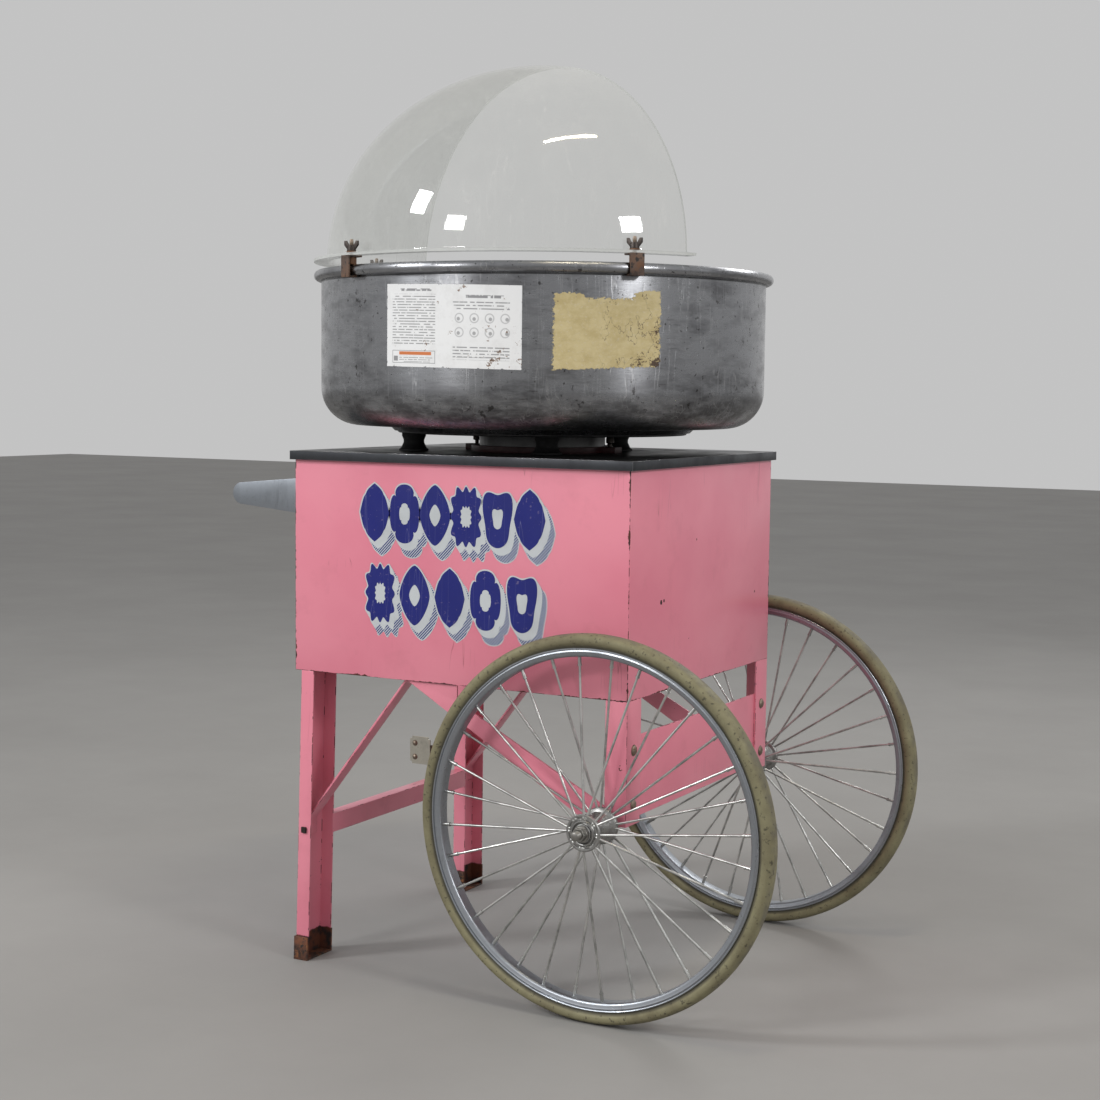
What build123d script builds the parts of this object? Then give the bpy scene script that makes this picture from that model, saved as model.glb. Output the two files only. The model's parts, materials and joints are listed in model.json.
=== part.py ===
from build123d import *
from math import cos, hypot, radians, sin
import os

# Cotton candy machine on a two-wheeled cart. Millimetres, +Z up, floor at Z = 0.
# +X is the wheel end, -X the handle end, +Y the operator's side (left), -Y the show side (right).
# The origin is on the floor under the middle of the overall length and width.

# Cabinet
cabinet_length = 550
cabinet_width = 494
cabinet_height = 323
cabinet_clearance = 434
sheet = 2
bottom_lip = 18

# Counter
counter_overhang = 6
counter_skirt = 13
counter_sheet = 2

# Cord inlet bush
grommet_radius = 9
grommet_wall = 4
grommet_rise = 40

# Door on the operator's side
door_width = 320
door_height = 196
door_offset = 22
door_sill = 72
door_gap = 1.5
hinge_leaf = 18
hinge_height = 42
hinge_barrel = 4
hinge_pin = 2
hinge_inset = 30
latch_radius = 4
latch_setback = 26
latch_knob_radius = 11
latch_knob_depth = 14
latch_tongue = 40
latch_tongue_width = 12
latch_tongue_sheet = 3

# Control panel
panel_width = 120
panel_height = 160
panel_offset = 68
panel_margin = 10
panel_screw_radius = 3.5
panel_screw_inset = 5
panel_screw_height = 2
switch_hole = 7
switch_nut = 9.5
switch_case = (22, 24, 30)
rheostat_radius = 26
rheostat_depth = 20
lever_radius = 2.2
lever_length = 20
lever_rest = 14
knob_radius = 19
knob_depth = 16
knob_ridge = 5
spindle_radius = 3

# Wheels
tyre_radius = 265
tyre_width = 30
tread_depth = 18.5
rim_width = 26
rim_height = 12.5
rim_sheet = 2
wheel_track = 576
axle_setback = 30
axle_radius = 6
axle_tail = 17
hub_half = 30
hub_barrel = 20
hub_flange = 25.5
spoke_radius = 1.6
spoke_count = 32
spoke_turn = 6.2
spoke_circle = 21
spoke_lean = 5.5
nipple_length = 11
nipple_radius = 2.6
nut_radius = 10
nut_height = 9

# Frame
front_leg_depth = 22
front_leg_width = 59
front_leg_inset = 11
leg_splay = 6
leg_rack = 9
leg_sheet = 2
boot_height = 35
boot_sheet = 2.5
cross_bar_z = 196
cross_bar_height = 28
bar_sheet = 3
strut_width = 25
strut_foot_z = 196
strut_reach = 176
strut_tab = 24
rear_leg_x = 33
rear_leg_y = 43
rear_leg_sheet = 3
brace_setback = 80
brace_foot = 84
brace_strap = 30
brace_sheet = 3
brace_fillet = 20
rear_panel_gap = 51
rear_panel_rise = 5
bolt_head = 7.5
bolt_rise = 4
square_head = 9
square_rise = 3

# Handle
handle_reach = 143
handle_spread = 400
handle_root = 56
handle_tip = 33
handle_flange = 24
handle_sheet = 2
handle_height = 256
handle_bar_radius = 11

# Catch bracket on the front leg
catch_reach = 86
catch_plate_width = 41
catch_plate_height = 48
catch_z = 228
catch_strap_height = 21
catch_sheet = 2.5
catch_lug = 20
catch_screw = 4.5
catch_screw_pitch = 24

# Motor unit
machine_offset = 3
drum_radius = 95
drum_depth = 196
drum_sheet = 2
vent_radius = 9
vent_count = 8
collar_width = 12
collar_height = 9
ear_reach = 34
ear_width = 22
thumb_radius = 3
thumb_tail = 8
thumb_head = 10
mount_height = 27
mount_radius = 18
mount_foot = 22
mount_spacing = 228
plate_radius = 218
plate_sheet = 3
spigot_height = 4
motor_radius = 62
shaft_radius = 6
bearing_radius = 16
rotor_radius = 44

# Spinner
head_radius = 75
head_height = 39
head_lift = 37
well_radius = 30
well_height = 20
band_inset = 5
band_sheet = 2
slot_count = 48
slot_width = 4
slot_margin = 6
pillar_radius = 3
pillar_inset = 15

# Bowl
bowl_radius = 332
bowl_height = 227
bowl_sheet = 2.5
bowl_corner = 55
bowl_seat_margin = 5
bowl_rise = 8
bead_radius = 7.5
bowl_hole_gap = 7

# Dome and its clips
dome_inset = 8
dome_crown = 32
dome_sheet = 3
dome_flange_sheet = 4
dome_lift = 12.5
dome_start = 156
clip_middle = 246
clip_spread = 74
clip_width = 20
clip_sheet = 2.5
bolt_radius = 3
wing_reach = 11.5
wing_height = 14
wing_sheet = 3
pad_radius = 7
pad_sheet = 2
bolt_tail = 16

# Fits
running = 0.05
clear = 0.3

# Places worked out from the sizes
cabinet_x = (handle_reach + axle_setback - tyre_radius) / 2
handle_end = cabinet_x - cabinet_length / 2
wheel_end = cabinet_x + cabinet_length / 2
half_width = cabinet_width / 2
cabinet_top = cabinet_clearance + cabinet_height
counter_top_z = cabinet_top + counter_sheet
axle_x = wheel_end - axle_setback
axle_z = tyre_radius
machine_x = cabinet_x + machine_offset
plate_z = counter_top_z + mount_height
bowl_z = plate_z + plate_sheet
bead_z = bowl_z + bowl_height
bead_ring = bowl_radius + bead_radius - 4
bowl_hole = head_radius + bowl_hole_gap
bowl_seat = plate_radius + bowl_seat_margin
head_z = bowl_z + head_lift
flange_z = bead_z + bead_radius + dome_lift
dome_radius = bowl_radius - dome_inset
dome_height = dome_radius - dome_crown
dome_flange = bead_ring + bead_radius - dome_radius
bolt_ring = dome_radius + wing_reach + 1
clip_angles = [clip_middle - clip_spread, clip_middle, clip_middle + clip_spread]
rim_radius = tyre_radius - tread_depth
machine_axis = Axis((machine_x, 0, 0), (0, 0, 1))


def upright(x, z=0, turn=0):
    """Plane through a vertical axis at x: local x is outwards, local y is up."""
    outward = (cos(radians(turn)), sin(radians(turn)), 0)
    return Plane((x, 0, z), x_dir=outward, z_dir=(outward[1], -outward[0], 0))


def tube(start, end):
    """Plane at start looking at end, and the distance between them."""
    run = Vector(*end) - Vector(*start)
    return Plane(start, z_dir=run), run.length


# ---------------------------------------------------------------- cabinet
door_left = cabinet_x - door_width / 2 - door_offset - panel_offset / 2
door_right = door_left + door_width
door_low = cabinet_clearance + door_sill
door_high = door_low + door_height
door_middle = (door_low + door_high) / 2
panel_x = (door_right + wheel_end) / 2 + sheet
panel_z = door_high - panel_height / 2
grommet_x = panel_x
grommet_z = cabinet_clearance + grommet_rise

with BuildPart() as cabinet_shell:
    with BuildSketch(Plane.XY.offset(cabinet_clearance)):
        with Locations((cabinet_x, 0)):
            Rectangle(cabinet_length, cabinet_width)
            Rectangle(cabinet_length - 2 * sheet, cabinet_width - 2 * sheet, mode=Mode.SUBTRACT)
    extrude(amount=cabinet_height)
    with BuildSketch(Plane.XY.offset(cabinet_clearance)):
        with Locations((cabinet_x, 0)):
            Rectangle(cabinet_length, cabinet_width)
            Rectangle(cabinet_length - 2 * bottom_lip, cabinet_width - 2 * bottom_lip, mode=Mode.SUBTRACT)
    extrude(amount=sheet)
    with Locations(((door_left + door_right) / 2, half_width - sheet / 2, door_middle)):
        Box(door_width, 2 * sheet, door_height, mode=Mode.SUBTRACT)
    with Locations((panel_x, half_width - sheet / 2, panel_z)):
        Box(panel_width - 2 * panel_margin, 2 * sheet, panel_height - 2 * panel_margin, mode=Mode.SUBTRACT)
    with BuildSketch(Plane.XZ.offset(-half_width)):
        with Locations((grommet_x, grommet_z)):
            Circle(grommet_radius)
    extrude(amount=sheet, mode=Mode.SUBTRACT)

with BuildPart() as cabinet_floor:
    with BuildSketch(Plane.XY.offset(cabinet_clearance + sheet)):
        with Locations((cabinet_x, 0)):
            Rectangle(cabinet_length - 2 * sheet - 1, cabinet_width - 2 * sheet - 1)
    extrude(amount=sheet)

with BuildPart() as counter_top:
    with BuildSketch(Plane.XY.offset(cabinet_top)):
        with Locations((cabinet_x, 0)):
            Rectangle(cabinet_length + 2 * counter_overhang, cabinet_width + 2 * counter_overhang)
        with Locations((machine_x, 0)):
            Circle(drum_radius + 2 * clear, mode=Mode.SUBTRACT)
            with PolarLocations(drum_radius + ear_reach / 2 + collar_width / 4, 2):
                Circle(thumb_radius + 2 * clear, mode=Mode.SUBTRACT)
    extrude(amount=counter_sheet)
    with BuildSketch(Plane.XY.offset(counter_top_z - counter_skirt)):
        with Locations((cabinet_x, 0)):
            outer_length = cabinet_length + 2 * counter_overhang
            outer_width = cabinet_width + 2 * counter_overhang
            Rectangle(outer_length, outer_width)
            Rectangle(outer_length - 2 * counter_sheet, outer_width - 2 * counter_sheet, mode=Mode.SUBTRACT)
    extrude(amount=counter_skirt - counter_sheet)

with BuildPart() as cord_grommet:
    with BuildSketch(Plane.XZ.offset(-half_width + 2 * sheet)):
        with Locations((grommet_x, grommet_z)):
            Circle(grommet_radius + grommet_wall - 1)
            Circle(grommet_radius - grommet_wall, mode=Mode.SUBTRACT)
    extrude(amount=-3 * sheet - 1)
    with BuildSketch(Plane.XZ.offset(-half_width + sheet)):
        with Locations((grommet_x, grommet_z)):
            Circle(grommet_radius + grommet_wall)
            Circle(grommet_radius, mode=Mode.SUBTRACT)
    extrude(amount=-sheet, mode=Mode.SUBTRACT)

# ---------------------------------------------------------------- door
hinge_x = door_left
hinge_y = half_width + hinge_barrel
hinge_places = [door_low + hinge_inset, door_high - hinge_inset]
knuckle = hinge_height / 3
latch_x = door_right - latch_setback

with BuildPart() as door_panel:
    with Locations(((door_left + door_right) / 2, half_width - sheet / 2, door_middle)):
        Box(door_width - 2 * door_gap, sheet, door_height - 2 * door_gap)
    with BuildSketch(Plane.XZ.offset(-half_width)):
        with Locations((latch_x, door_middle)):
            Circle(latch_radius + running)
    extrude(amount=sheet, mode=Mode.SUBTRACT)
    for z in hinge_places:
        with Locations((hinge_x + hinge_leaf / 2, half_width + sheet / 4, z)):
            Box(hinge_leaf, sheet / 2, knuckle - clear)
        with Locations((hinge_x, hinge_y, z)):
            Cylinder(hinge_barrel, knuckle - clear)
            Cylinder(hinge_pin + running, knuckle, mode=Mode.SUBTRACT)

with BuildPart() as door_hinges:
    for z in hinge_places:
        for end in (-1, 1):
            middle = z + end * knuckle
            with Locations((hinge_x - hinge_leaf / 2, half_width + sheet / 4, middle)):
                Box(hinge_leaf, sheet / 2, knuckle - clear)
            with Locations((hinge_x, hinge_y, middle)):
                Cylinder(hinge_barrel, knuckle - clear)
        with Locations((hinge_x, hinge_y, z)):
            Cylinder(hinge_pin, hinge_height + 2)

with BuildPart() as door_latch:
    with BuildSketch(Plane.XZ.offset(-half_width - latch_knob_depth)):
        with Locations((latch_x, door_middle)):
            Circle(latch_knob_radius)
    extrude(amount=latch_knob_depth - clear)
    fillet(door_latch.edges().group_by(Axis.Y)[-1], 3)
    with BuildSketch(Plane.XZ.offset(-half_width - clear)):
        with Locations((latch_x, door_middle)):
            Circle(latch_radius)
    extrude(amount=clear + sheet + latch_tongue_sheet + 1)
    tongue_y = half_width - sheet - 1 - latch_tongue_sheet / 2
    with Locations((latch_x, tongue_y, door_middle + latch_tongue / 2 - latch_radius)):
        Box(latch_tongue_width, latch_tongue_sheet, latch_tongue)

# ---------------------------------------------------------------- control panel
switch_x = [panel_x - panel_width / 4, panel_x + panel_width / 4]
switch_z = panel_z + panel_height / 4
knob_z = panel_z - panel_height / 5
panel_face = half_width + sheet
pivot_y = half_width - 1

with BuildPart() as control_panel:
    with Locations((panel_x, half_width + sheet / 2, panel_z)):
        Box(panel_width, sheet, panel_height)
    with BuildSketch(Plane.XZ.offset(-panel_face)):
        with Locations(*[(x, switch_z) for x in switch_x]):
            Circle(switch_hole)
        with Locations((panel_x, knob_z)):
            Circle(spindle_radius + 2)
    extrude(amount=sheet, mode=Mode.SUBTRACT)

with BuildPart() as control_bodies:
    for x in switch_x:
        with Locations((x, half_width - 6 - switch_case[1] / 2, switch_z)):
            Box(*switch_case)
        with BuildSketch(Plane.XZ.offset(-half_width + 6)):
            with Locations((x, switch_z)):
                Circle(switch_hole - clear / 2)
        extrude(amount=-9 - sheet)
        with BuildSketch(Plane.XZ.offset(-half_width - 4)):
            with Locations((x, switch_z)):
                RegularPolygon(switch_nut, 6)
                Circle(switch_hole - clear, mode=Mode.SUBTRACT)
        extrude(amount=4 - sheet)
        with Locations((x, half_width - 1, switch_z)):
            Box(lever_radius * 2 + 1.6, 14, 10.5, mode=Mode.SUBTRACT)
    with BuildSketch(Plane.XZ.offset(-half_width + 3)):
        with Locations((panel_x, knob_z)):
            Circle(rheostat_radius)
            Circle(spindle_radius + running, mode=Mode.SUBTRACT)
    extrude(amount=rheostat_depth)

with BuildPart() as heat_knob:
    with BuildSketch(Plane.XZ.offset(-panel_face - clear - knob_depth)):
        with Locations((panel_x, knob_z)):
            Circle(knob_radius)
    extrude(amount=knob_depth)
    fillet(heat_knob.edges().group_by(Axis.Y)[-1], 2)
    with Locations((panel_x, panel_face + clear + knob_depth / 2 + 3, knob_z)):
        Box(knob_ridge, knob_depth, 2 * knob_radius - 8)
    with BuildSketch(Plane.XZ.offset(-panel_face - clear)):
        with Locations((panel_x, knob_z)):
            Circle(spindle_radius)
    extrude(amount=sheet + clear + rheostat_depth - 2)


def toggle(x):
    """Switch lever leaning down by its rest angle, on a cross pin just behind the panel."""
    lean = radians(lever_rest)
    tip = (x, pivot_y + lever_length * cos(lean), switch_z - lever_length * sin(lean))
    plane, length = tube((x, pivot_y, switch_z), tip)
    with BuildPart() as lever:
        with BuildSketch(plane):
            Circle(lever_radius * 0.8)
        extrude(amount=length, taper=-1.5)
        with Locations(tip):
            Sphere(lever_radius * 1.4)
        with Locations((x, pivot_y, switch_z)):
            Cylinder(lever_radius, 2 * lever_radius, rotation=(0, 90, 0))
    return lever


main_switch_lever = toggle(switch_x[0])
heat_switch_lever = toggle(switch_x[1])


# ---------------------------------------------------------------- front legs
def leg_shift(side, z):
    """Sideways lean of a front leg at height z: splay outwards plus the rack of the pair."""
    return (side * leg_splay - leg_rack) * (cabinet_clearance - z) / cabinet_clearance


leg_x = handle_end + front_leg_inset
leg_top_y = half_width - front_leg_width / 2


def front_leg(side):
    """Channel leg, open towards the wheels."""
    run = Vector(0, leg_shift(side, 0), -cabinet_clearance)
    reach = run.length * (cabinet_clearance - boot_sheet) / cabinet_clearance
    with BuildPart() as leg:
        with BuildSketch(Plane.XY.offset(cabinet_clearance)):
            with Locations((leg_x + front_leg_depth / 2, side * leg_top_y)):
                Rectangle(front_leg_depth, front_leg_width)
            with Locations((leg_x + front_leg_depth / 2 + leg_sheet, side * leg_top_y)):
                Rectangle(front_leg_depth, front_leg_width - 2 * leg_sheet, mode=Mode.SUBTRACT)
        extrude(amount=reach, dir=run)
    return leg


front_leg_left = front_leg(1)
front_leg_right = front_leg(-1)

with BuildPart() as front_boots:
    for side in (1, -1):
        foot_y = side * leg_top_y + leg_shift(side, 0)
        rise = Vector(0, -leg_shift(side, 0), cabinet_clearance)
        step = rise.length / cabinet_clearance
        lean = leg_shift(side, boot_sheet)
        with BuildSketch(Plane.XY):
            with Locations((leg_x + front_leg_depth / 2 - boot_sheet / 2, foot_y)):
                Rectangle(front_leg_depth + boot_sheet, front_leg_width + 2 * boot_sheet)
        extrude(amount=boot_height * step, dir=rise)
        with BuildSketch(Plane.XY.offset(boot_sheet)):
            with Locations((leg_x + front_leg_depth / 2, side * leg_top_y + lean)):
                Rectangle(front_leg_depth, front_leg_width)
        extrude(amount=boot_height * step, dir=rise, mode=Mode.SUBTRACT)

bar_low = cross_bar_z - cross_bar_height / 2
bar_high = cross_bar_z + cross_bar_height / 2
leg_inner_y = leg_top_y - front_leg_width / 2
bar_ends = [
    (side * leg_inner_y + leg_shift(side, z), z)
    for side, z in ((-1, bar_low), (1, bar_low), (1, bar_high), (-1, bar_high))
]

with BuildPart() as front_cross_bar:
    with BuildSketch(Plane.YZ.offset(leg_x + front_leg_depth - bar_sheet)):
        with BuildLine():
            Polyline(*bar_ends, close=True)
        make_face()
    extrude(amount=bar_sheet)
    with BuildSketch(Plane.YZ.offset(leg_x + leg_sheet)):
        with BuildLine():
            ledge_z = bar_high - bar_sheet
            low_ends = [(side * leg_inner_y + leg_shift(side, ledge_z), ledge_z) for side in (-1, 1)]
            Polyline(*low_ends, bar_ends[2], bar_ends[3], close=True)
        make_face()
    extrude(amount=front_leg_depth - leg_sheet - bar_sheet)

# Diagonal struts, bent at both ends to lie on the leg's web and on the cabinet's underside
strut_line = [
    (leg_x + leg_sheet, strut_foot_z - strut_tab / 2),
    (leg_x + leg_sheet, strut_foot_z + strut_tab / 2),
    (leg_x + leg_sheet + strut_reach, cabinet_clearance),
    (leg_x + leg_sheet + strut_reach + strut_tab, cabinet_clearance),
]

strut_edge = half_width - rear_leg_sheet - brace_sheet - 1

with BuildPart() as front_struts:
    for side in (1, -1):
        with BuildSketch(Plane.XZ.offset(-side * strut_edge)):
            with BuildLine() as bend:
                Polyline(*strut_line)
                offset(amount=bar_sheet, side=Side.RIGHT, kind=Kind.INTERSECTION)
            make_face()
        extrude(amount=side * strut_width)

# ---------------------------------------------------------------- rear frame
rear_leg_low = axle_z - 3
brace_plane = half_width - rear_leg_sheet


def rear_leg(side):
    """Angle-iron leg at a rear corner."""
    with BuildPart() as leg:
        with BuildSketch(Plane.XY.offset(rear_leg_low)):
            with Locations((wheel_end - rear_leg_x / 2, side * (half_width - rear_leg_sheet / 2))):
                Rectangle(rear_leg_x, rear_leg_sheet)
            with Locations((wheel_end - rear_leg_sheet / 2, side * (half_width - rear_leg_y / 2))):
                Rectangle(rear_leg_sheet, rear_leg_y)
        extrude(amount=cabinet_clearance - rear_leg_low)
        with BuildSketch(Plane.XZ.offset(-side * half_width)):
            with Locations((axle_x, axle_z)):
                Circle(axle_radius)
        extrude(amount=side * rear_leg_sheet, mode=Mode.SUBTRACT)
    return leg


rear_leg_left = rear_leg(1)
rear_leg_right = rear_leg(-1)

# Brace plates: a wide foot under the cabinet, a slanting strap and an eye round the axle
brace_start = cabinet_x - brace_setback
brace_inner = brace_start + brace_foot
brace_drop = cabinet_clearance - axle_z
brace_run = axle_x - brace_start
brace_length = hypot(brace_run, brace_drop)
eye_radius = brace_strap / 2 + 3

with BuildPart() as rear_braces:
    for side in (1, -1):
        with BuildSketch(Plane.XZ.offset(-side * brace_plane)) as brace_face:
            low_x = axle_x - eye_radius * brace_drop / brace_length
            low_z = axle_z - eye_radius * brace_run / brace_length
            high_x = axle_x + eye_radius * brace_drop / brace_length
            high_z = axle_z + eye_radius * brace_run / brace_length
            neck_x = brace_inner + brace_fillet
            neck_z = high_z + (high_x - neck_x) * brace_drop / brace_run
            with BuildLine():
                Polyline(
                    (brace_start, cabinet_clearance),
                    (low_x, low_z),
                    (high_x, high_z),
                    (neck_x, neck_z),
                    (brace_inner, neck_z + brace_fillet / 2),
                    (brace_inner, cabinet_clearance),
                    close=True,
                )
            make_face()
            neck = brace_face.vertices().sort_by_distance((brace_inner, neck_z + brace_fillet / 2))[0]
            fillet(neck, brace_fillet / 2)
            with Locations((axle_x, axle_z)):
                Circle(eye_radius)
                Circle(axle_radius, mode=Mode.SUBTRACT)
        extrude(amount=side * brace_sheet)

panel_low = axle_z + rear_panel_rise
panel_high = cabinet_clearance - rear_panel_gap
rear_bolt_y = half_width - rear_leg_y / 2
rear_bolt_z = [panel_low + 20, panel_high - 18]

with BuildPart() as rear_panel:
    with BuildSketch(Plane.YZ.offset(wheel_end - rear_leg_sheet - sheet)):
        with Locations((0, (panel_low + panel_high) / 2)):
            Rectangle(2 * (half_width - rear_leg_sheet - brace_sheet - 2), panel_high - panel_low)
    extrude(amount=sheet)

with BuildPart() as frame_bolts:
    for side in (1, -1):
        for z in rear_bolt_z:
            with BuildSketch(Plane.YZ.offset(wheel_end)):
                with Locations((side * rear_bolt_y, z)):
                    Circle(bolt_head)
            extrude(amount=bolt_rise)
        bolt_y = side * (leg_top_y + front_leg_width / 2) + leg_shift(side, strut_foot_z)
        head_y = bolt_y + side * (square_rise / 2 + clear)
        with Locations((leg_x + front_leg_depth / 2, head_y, strut_foot_z)):
            Box(square_head, square_rise, square_head)
    fillet(frame_bolts.edges().filter_by(GeomType.CIRCLE).group_by(Axis.X)[-1], 2.5)
    screw_x = panel_width / 2 - panel_screw_inset
    screw_z = panel_height / 2 - panel_screw_inset
    for x in (-1, 1):
        for z in (-1, 1):
            with BuildSketch(Plane.XZ.offset(-panel_face)):
                with Locations((panel_x + x * screw_x, panel_z + z * screw_z)):
                    Circle(panel_screw_radius)
            extrude(amount=-panel_screw_height)

# ---------------------------------------------------------------- axle
axle_end = wheel_track / 2 + hub_half + nut_height + 4 + axle_tail / 2
hub_out = wheel_track / 2 + hub_half
hub_in = wheel_track / 2 - hub_half

with BuildPart() as axle:
    with BuildSketch(Plane.XZ.offset(-axle_end)):
        with Locations((axle_x, axle_z)):
            Circle(axle_radius)
    extrude(amount=2 * axle_end)
    chamfer(axle.edges().group_by(Axis.Y)[0] + axle.edges().group_by(Axis.Y)[-1], 1)

with BuildPart() as axle_nuts:
    for side in (1, -1):
        with BuildSketch(Plane.XZ.offset(-side * (half_width + clear))):
            with Locations((axle_x, axle_z)):
                RegularPolygon(nut_radius, 6)
                Circle(axle_radius, mode=Mode.SUBTRACT)
        extrude(amount=-side * (hub_in - half_width - 2 * clear))
        with BuildSketch(Plane.XZ.offset(-side * (hub_out + clear))):
            with Locations((axle_x, axle_z)):
                Circle(nut_radius + 1.5)
                Circle(axle_radius, mode=Mode.SUBTRACT)
        extrude(amount=-side * 2)
        with BuildSketch(Plane.XZ.offset(-side * (hub_out + clear + 2))):
            with Locations((axle_x, axle_z)):
                RegularPolygon(nut_radius, 6)
                Circle(axle_radius, mode=Mode.SUBTRACT)
        extrude(amount=-side * nut_height)


# ---------------------------------------------------------------- wheels
def wheel_plane(side):
    """Section plane through the axle: local x is the radius, local y points outwards."""
    return Plane((axle_x, side * wheel_track / 2, axle_z), x_dir=(0, 0, 1), z_dir=(-side, 0, 0))


axle_line = Axis((axle_x, 0, axle_z), (0, 1, 0))


def tyre(side):
    """Solid rubber tyre with a rounded tread and a narrow base seated in the rim."""
    seat = rim_width / 2 - rim_sheet
    with BuildPart() as ring:
        with BuildSketch(wheel_plane(side)):
            with Locations(((tyre_radius + rim_radius + clear) / 2, 0)):
                Ellipse((tread_depth - clear) / 2, tyre_width / 2)
            with Locations((rim_radius - rim_height + rim_sheet, 0)):
                Rectangle(rim_height + tread_depth / 3, 2 * seat, align=(Align.MIN, Align.CENTER))
        revolve(axis=axle_line)
    return ring


def rim(side):
    """Rolled steel rim: a channel with curled lips."""
    with BuildPart() as ring:
        with BuildSketch(wheel_plane(side)):
            with Locations((rim_radius - rim_height / 2, 0)):
                Rectangle(rim_height, rim_width)
            with Locations((rim_radius - rim_height / 2 + rim_sheet, 0)):
                Rectangle(rim_height, rim_width - 2 * rim_sheet, mode=Mode.SUBTRACT)
        revolve(axis=axle_line)
    return ring


def hub(side):
    """Barrel with two spoke flanges, ridged outer face and a plain bearing bore."""
    with BuildPart() as core:
        with BuildSketch(wheel_plane(side)):
            with BuildLine():
                Polyline(
                    (axle_radius + running, -hub_half),
                    (hub_flange - 5, -hub_half),
                    (hub_flange, -hub_half + 2),
                    (hub_flange, -hub_half + 5),
                    (hub_barrel, -hub_half + 9),
                    (hub_barrel - 5, 0),
                    (hub_barrel, hub_half - 9),
                    (hub_flange, hub_half - 7),
                    (hub_flange, hub_half - 4),
                    (hub_flange - 3, hub_half - 3),
                    (hub_flange - 4, hub_half - 4.5),
                    (hub_flange - 7, hub_half - 4.5),
                    (hub_flange - 8, hub_half - 1),
                    (hub_flange - 11, hub_half - 1),
                    (hub_flange - 12, hub_half - 4),
                    (nut_radius + 2.5, hub_half - 4),
                    (nut_radius + 2.5, hub_half),
                    (axle_radius + running, hub_half),
                    close=True,
                )
            make_face()
        revolve(axis=axle_line)
    return core


def spokes(side, phase):
    """Wire spokes in pairs from both flanges, each ending in a nipple at the rim."""
    pair_count = spoke_count // 4
    turn = 360 / pair_count
    rim_foot = rim_radius - rim_height
    with BuildPart() as wires:
        for flange, start in ((1, 0), (-1, turn / 4)):
            for step in range(pair_count):
                for lean in (-1, 1):
                    hub_angle = radians(step * turn + start + phase + lean * spoke_lean)
                    rim_angle = radians(step * turn + start + phase + lean * turn / 4)
                    flange_y = side * (wheel_track / 2 + flange * (hub_half - 5.5))
                    rim_y = side * (wheel_track / 2 + flange * 3)
                    foot = (
                        axle_x + spoke_circle * cos(hub_angle),
                        flange_y,
                        axle_z + spoke_circle * sin(hub_angle),
                    )
                    head = (
                        axle_x + (rim_foot + 0.5) * cos(rim_angle),
                        rim_y,
                        axle_z + (rim_foot + 0.5) * sin(rim_angle),
                    )
                    plane, length = tube(foot, head)
                    with BuildSketch(plane):
                        Circle(spoke_radius)
                    extrude(amount=length)
                    with BuildSketch(plane.offset(length - nipple_length)):
                        Circle(nipple_radius)
                    extrude(amount=nipple_length)
    return wires


wheel_parts = {}
for name, side, phase in (("left", 1, 0), ("right", -1, -spoke_turn)):
    wheel_parts["tyre_" + name] = tyre(side)
    wheel_parts["rim_" + name] = rim(side)
    wheel_parts["hub_" + name] = hub(side)
    wheel_parts["spokes_" + name] = spokes(side, phase)

# ---------------------------------------------------------------- handle
handle_z = cabinet_clearance + handle_height
arm_tip_x = handle_end - handle_reach + handle_tip / 2
arm_line = [
    (handle_end, handle_z - handle_root / 2),
    (handle_end, handle_z + handle_root / 2),
    (arm_tip_x, handle_z + handle_tip / 2),
    (arm_tip_x, handle_z - handle_tip / 2),
]
bar_x = arm_tip_x + 4


def handle_arm(side):
    """Tapered channel arm with a rounded tip, open towards the middle."""
    outer_face = side * (handle_spread + handle_flange) / 2
    with BuildPart() as arm:
        with BuildSketch(Plane.XZ.offset(-outer_face)):
            with BuildLine():
                Polyline(*arm_line, close=True)
            make_face()
            with Locations((arm_tip_x, handle_z)):
                Circle(handle_tip / 2)
        extrude(amount=side * handle_flange)
        with BuildSketch(Plane.XZ.offset(-outer_face + side * handle_sheet)):
            with BuildLine():
                Polyline(
                    (handle_end - handle_sheet, handle_z - handle_root / 2 + handle_sheet),
                    (handle_end - handle_sheet, handle_z + handle_root / 2 - handle_sheet),
                    (arm_tip_x, handle_z + handle_tip / 2 - handle_sheet),
                    (arm_tip_x, handle_z - handle_tip / 2 + handle_sheet),
                    close=True,
                )
            make_face()
            with Locations((arm_tip_x, handle_z)):
                Circle(handle_tip / 2 - handle_sheet)
        extrude(amount=side * handle_flange, mode=Mode.SUBTRACT)
    return arm


handle_arm_left = handle_arm(1)
handle_arm_right = handle_arm(-1)
bar_half = (handle_spread + handle_flange) / 2 - handle_sheet

with BuildPart() as handle_bar:
    with BuildSketch(Plane.XZ.offset(-bar_half)):
        with Locations((bar_x, handle_z)):
            Circle(handle_bar_radius)
            Circle(handle_bar_radius - 1.5, mode=Mode.SUBTRACT)
    extrude(amount=2 * bar_half)

# ---------------------------------------------------------------- catch bracket
catch_y = leg_top_y + leg_shift(1, catch_z)

with BuildPart() as catch_strap:
    with Locations((leg_x - (catch_reach - catch_lug) / 2, catch_y + catch_sheet / 2, catch_z)):
        Box(catch_reach - catch_lug, catch_sheet, catch_strap_height)
    with Locations((leg_x - catch_sheet / 2, catch_y + catch_lug / 2, catch_z)):
        Box(catch_sheet, catch_lug, catch_strap_height)

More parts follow.
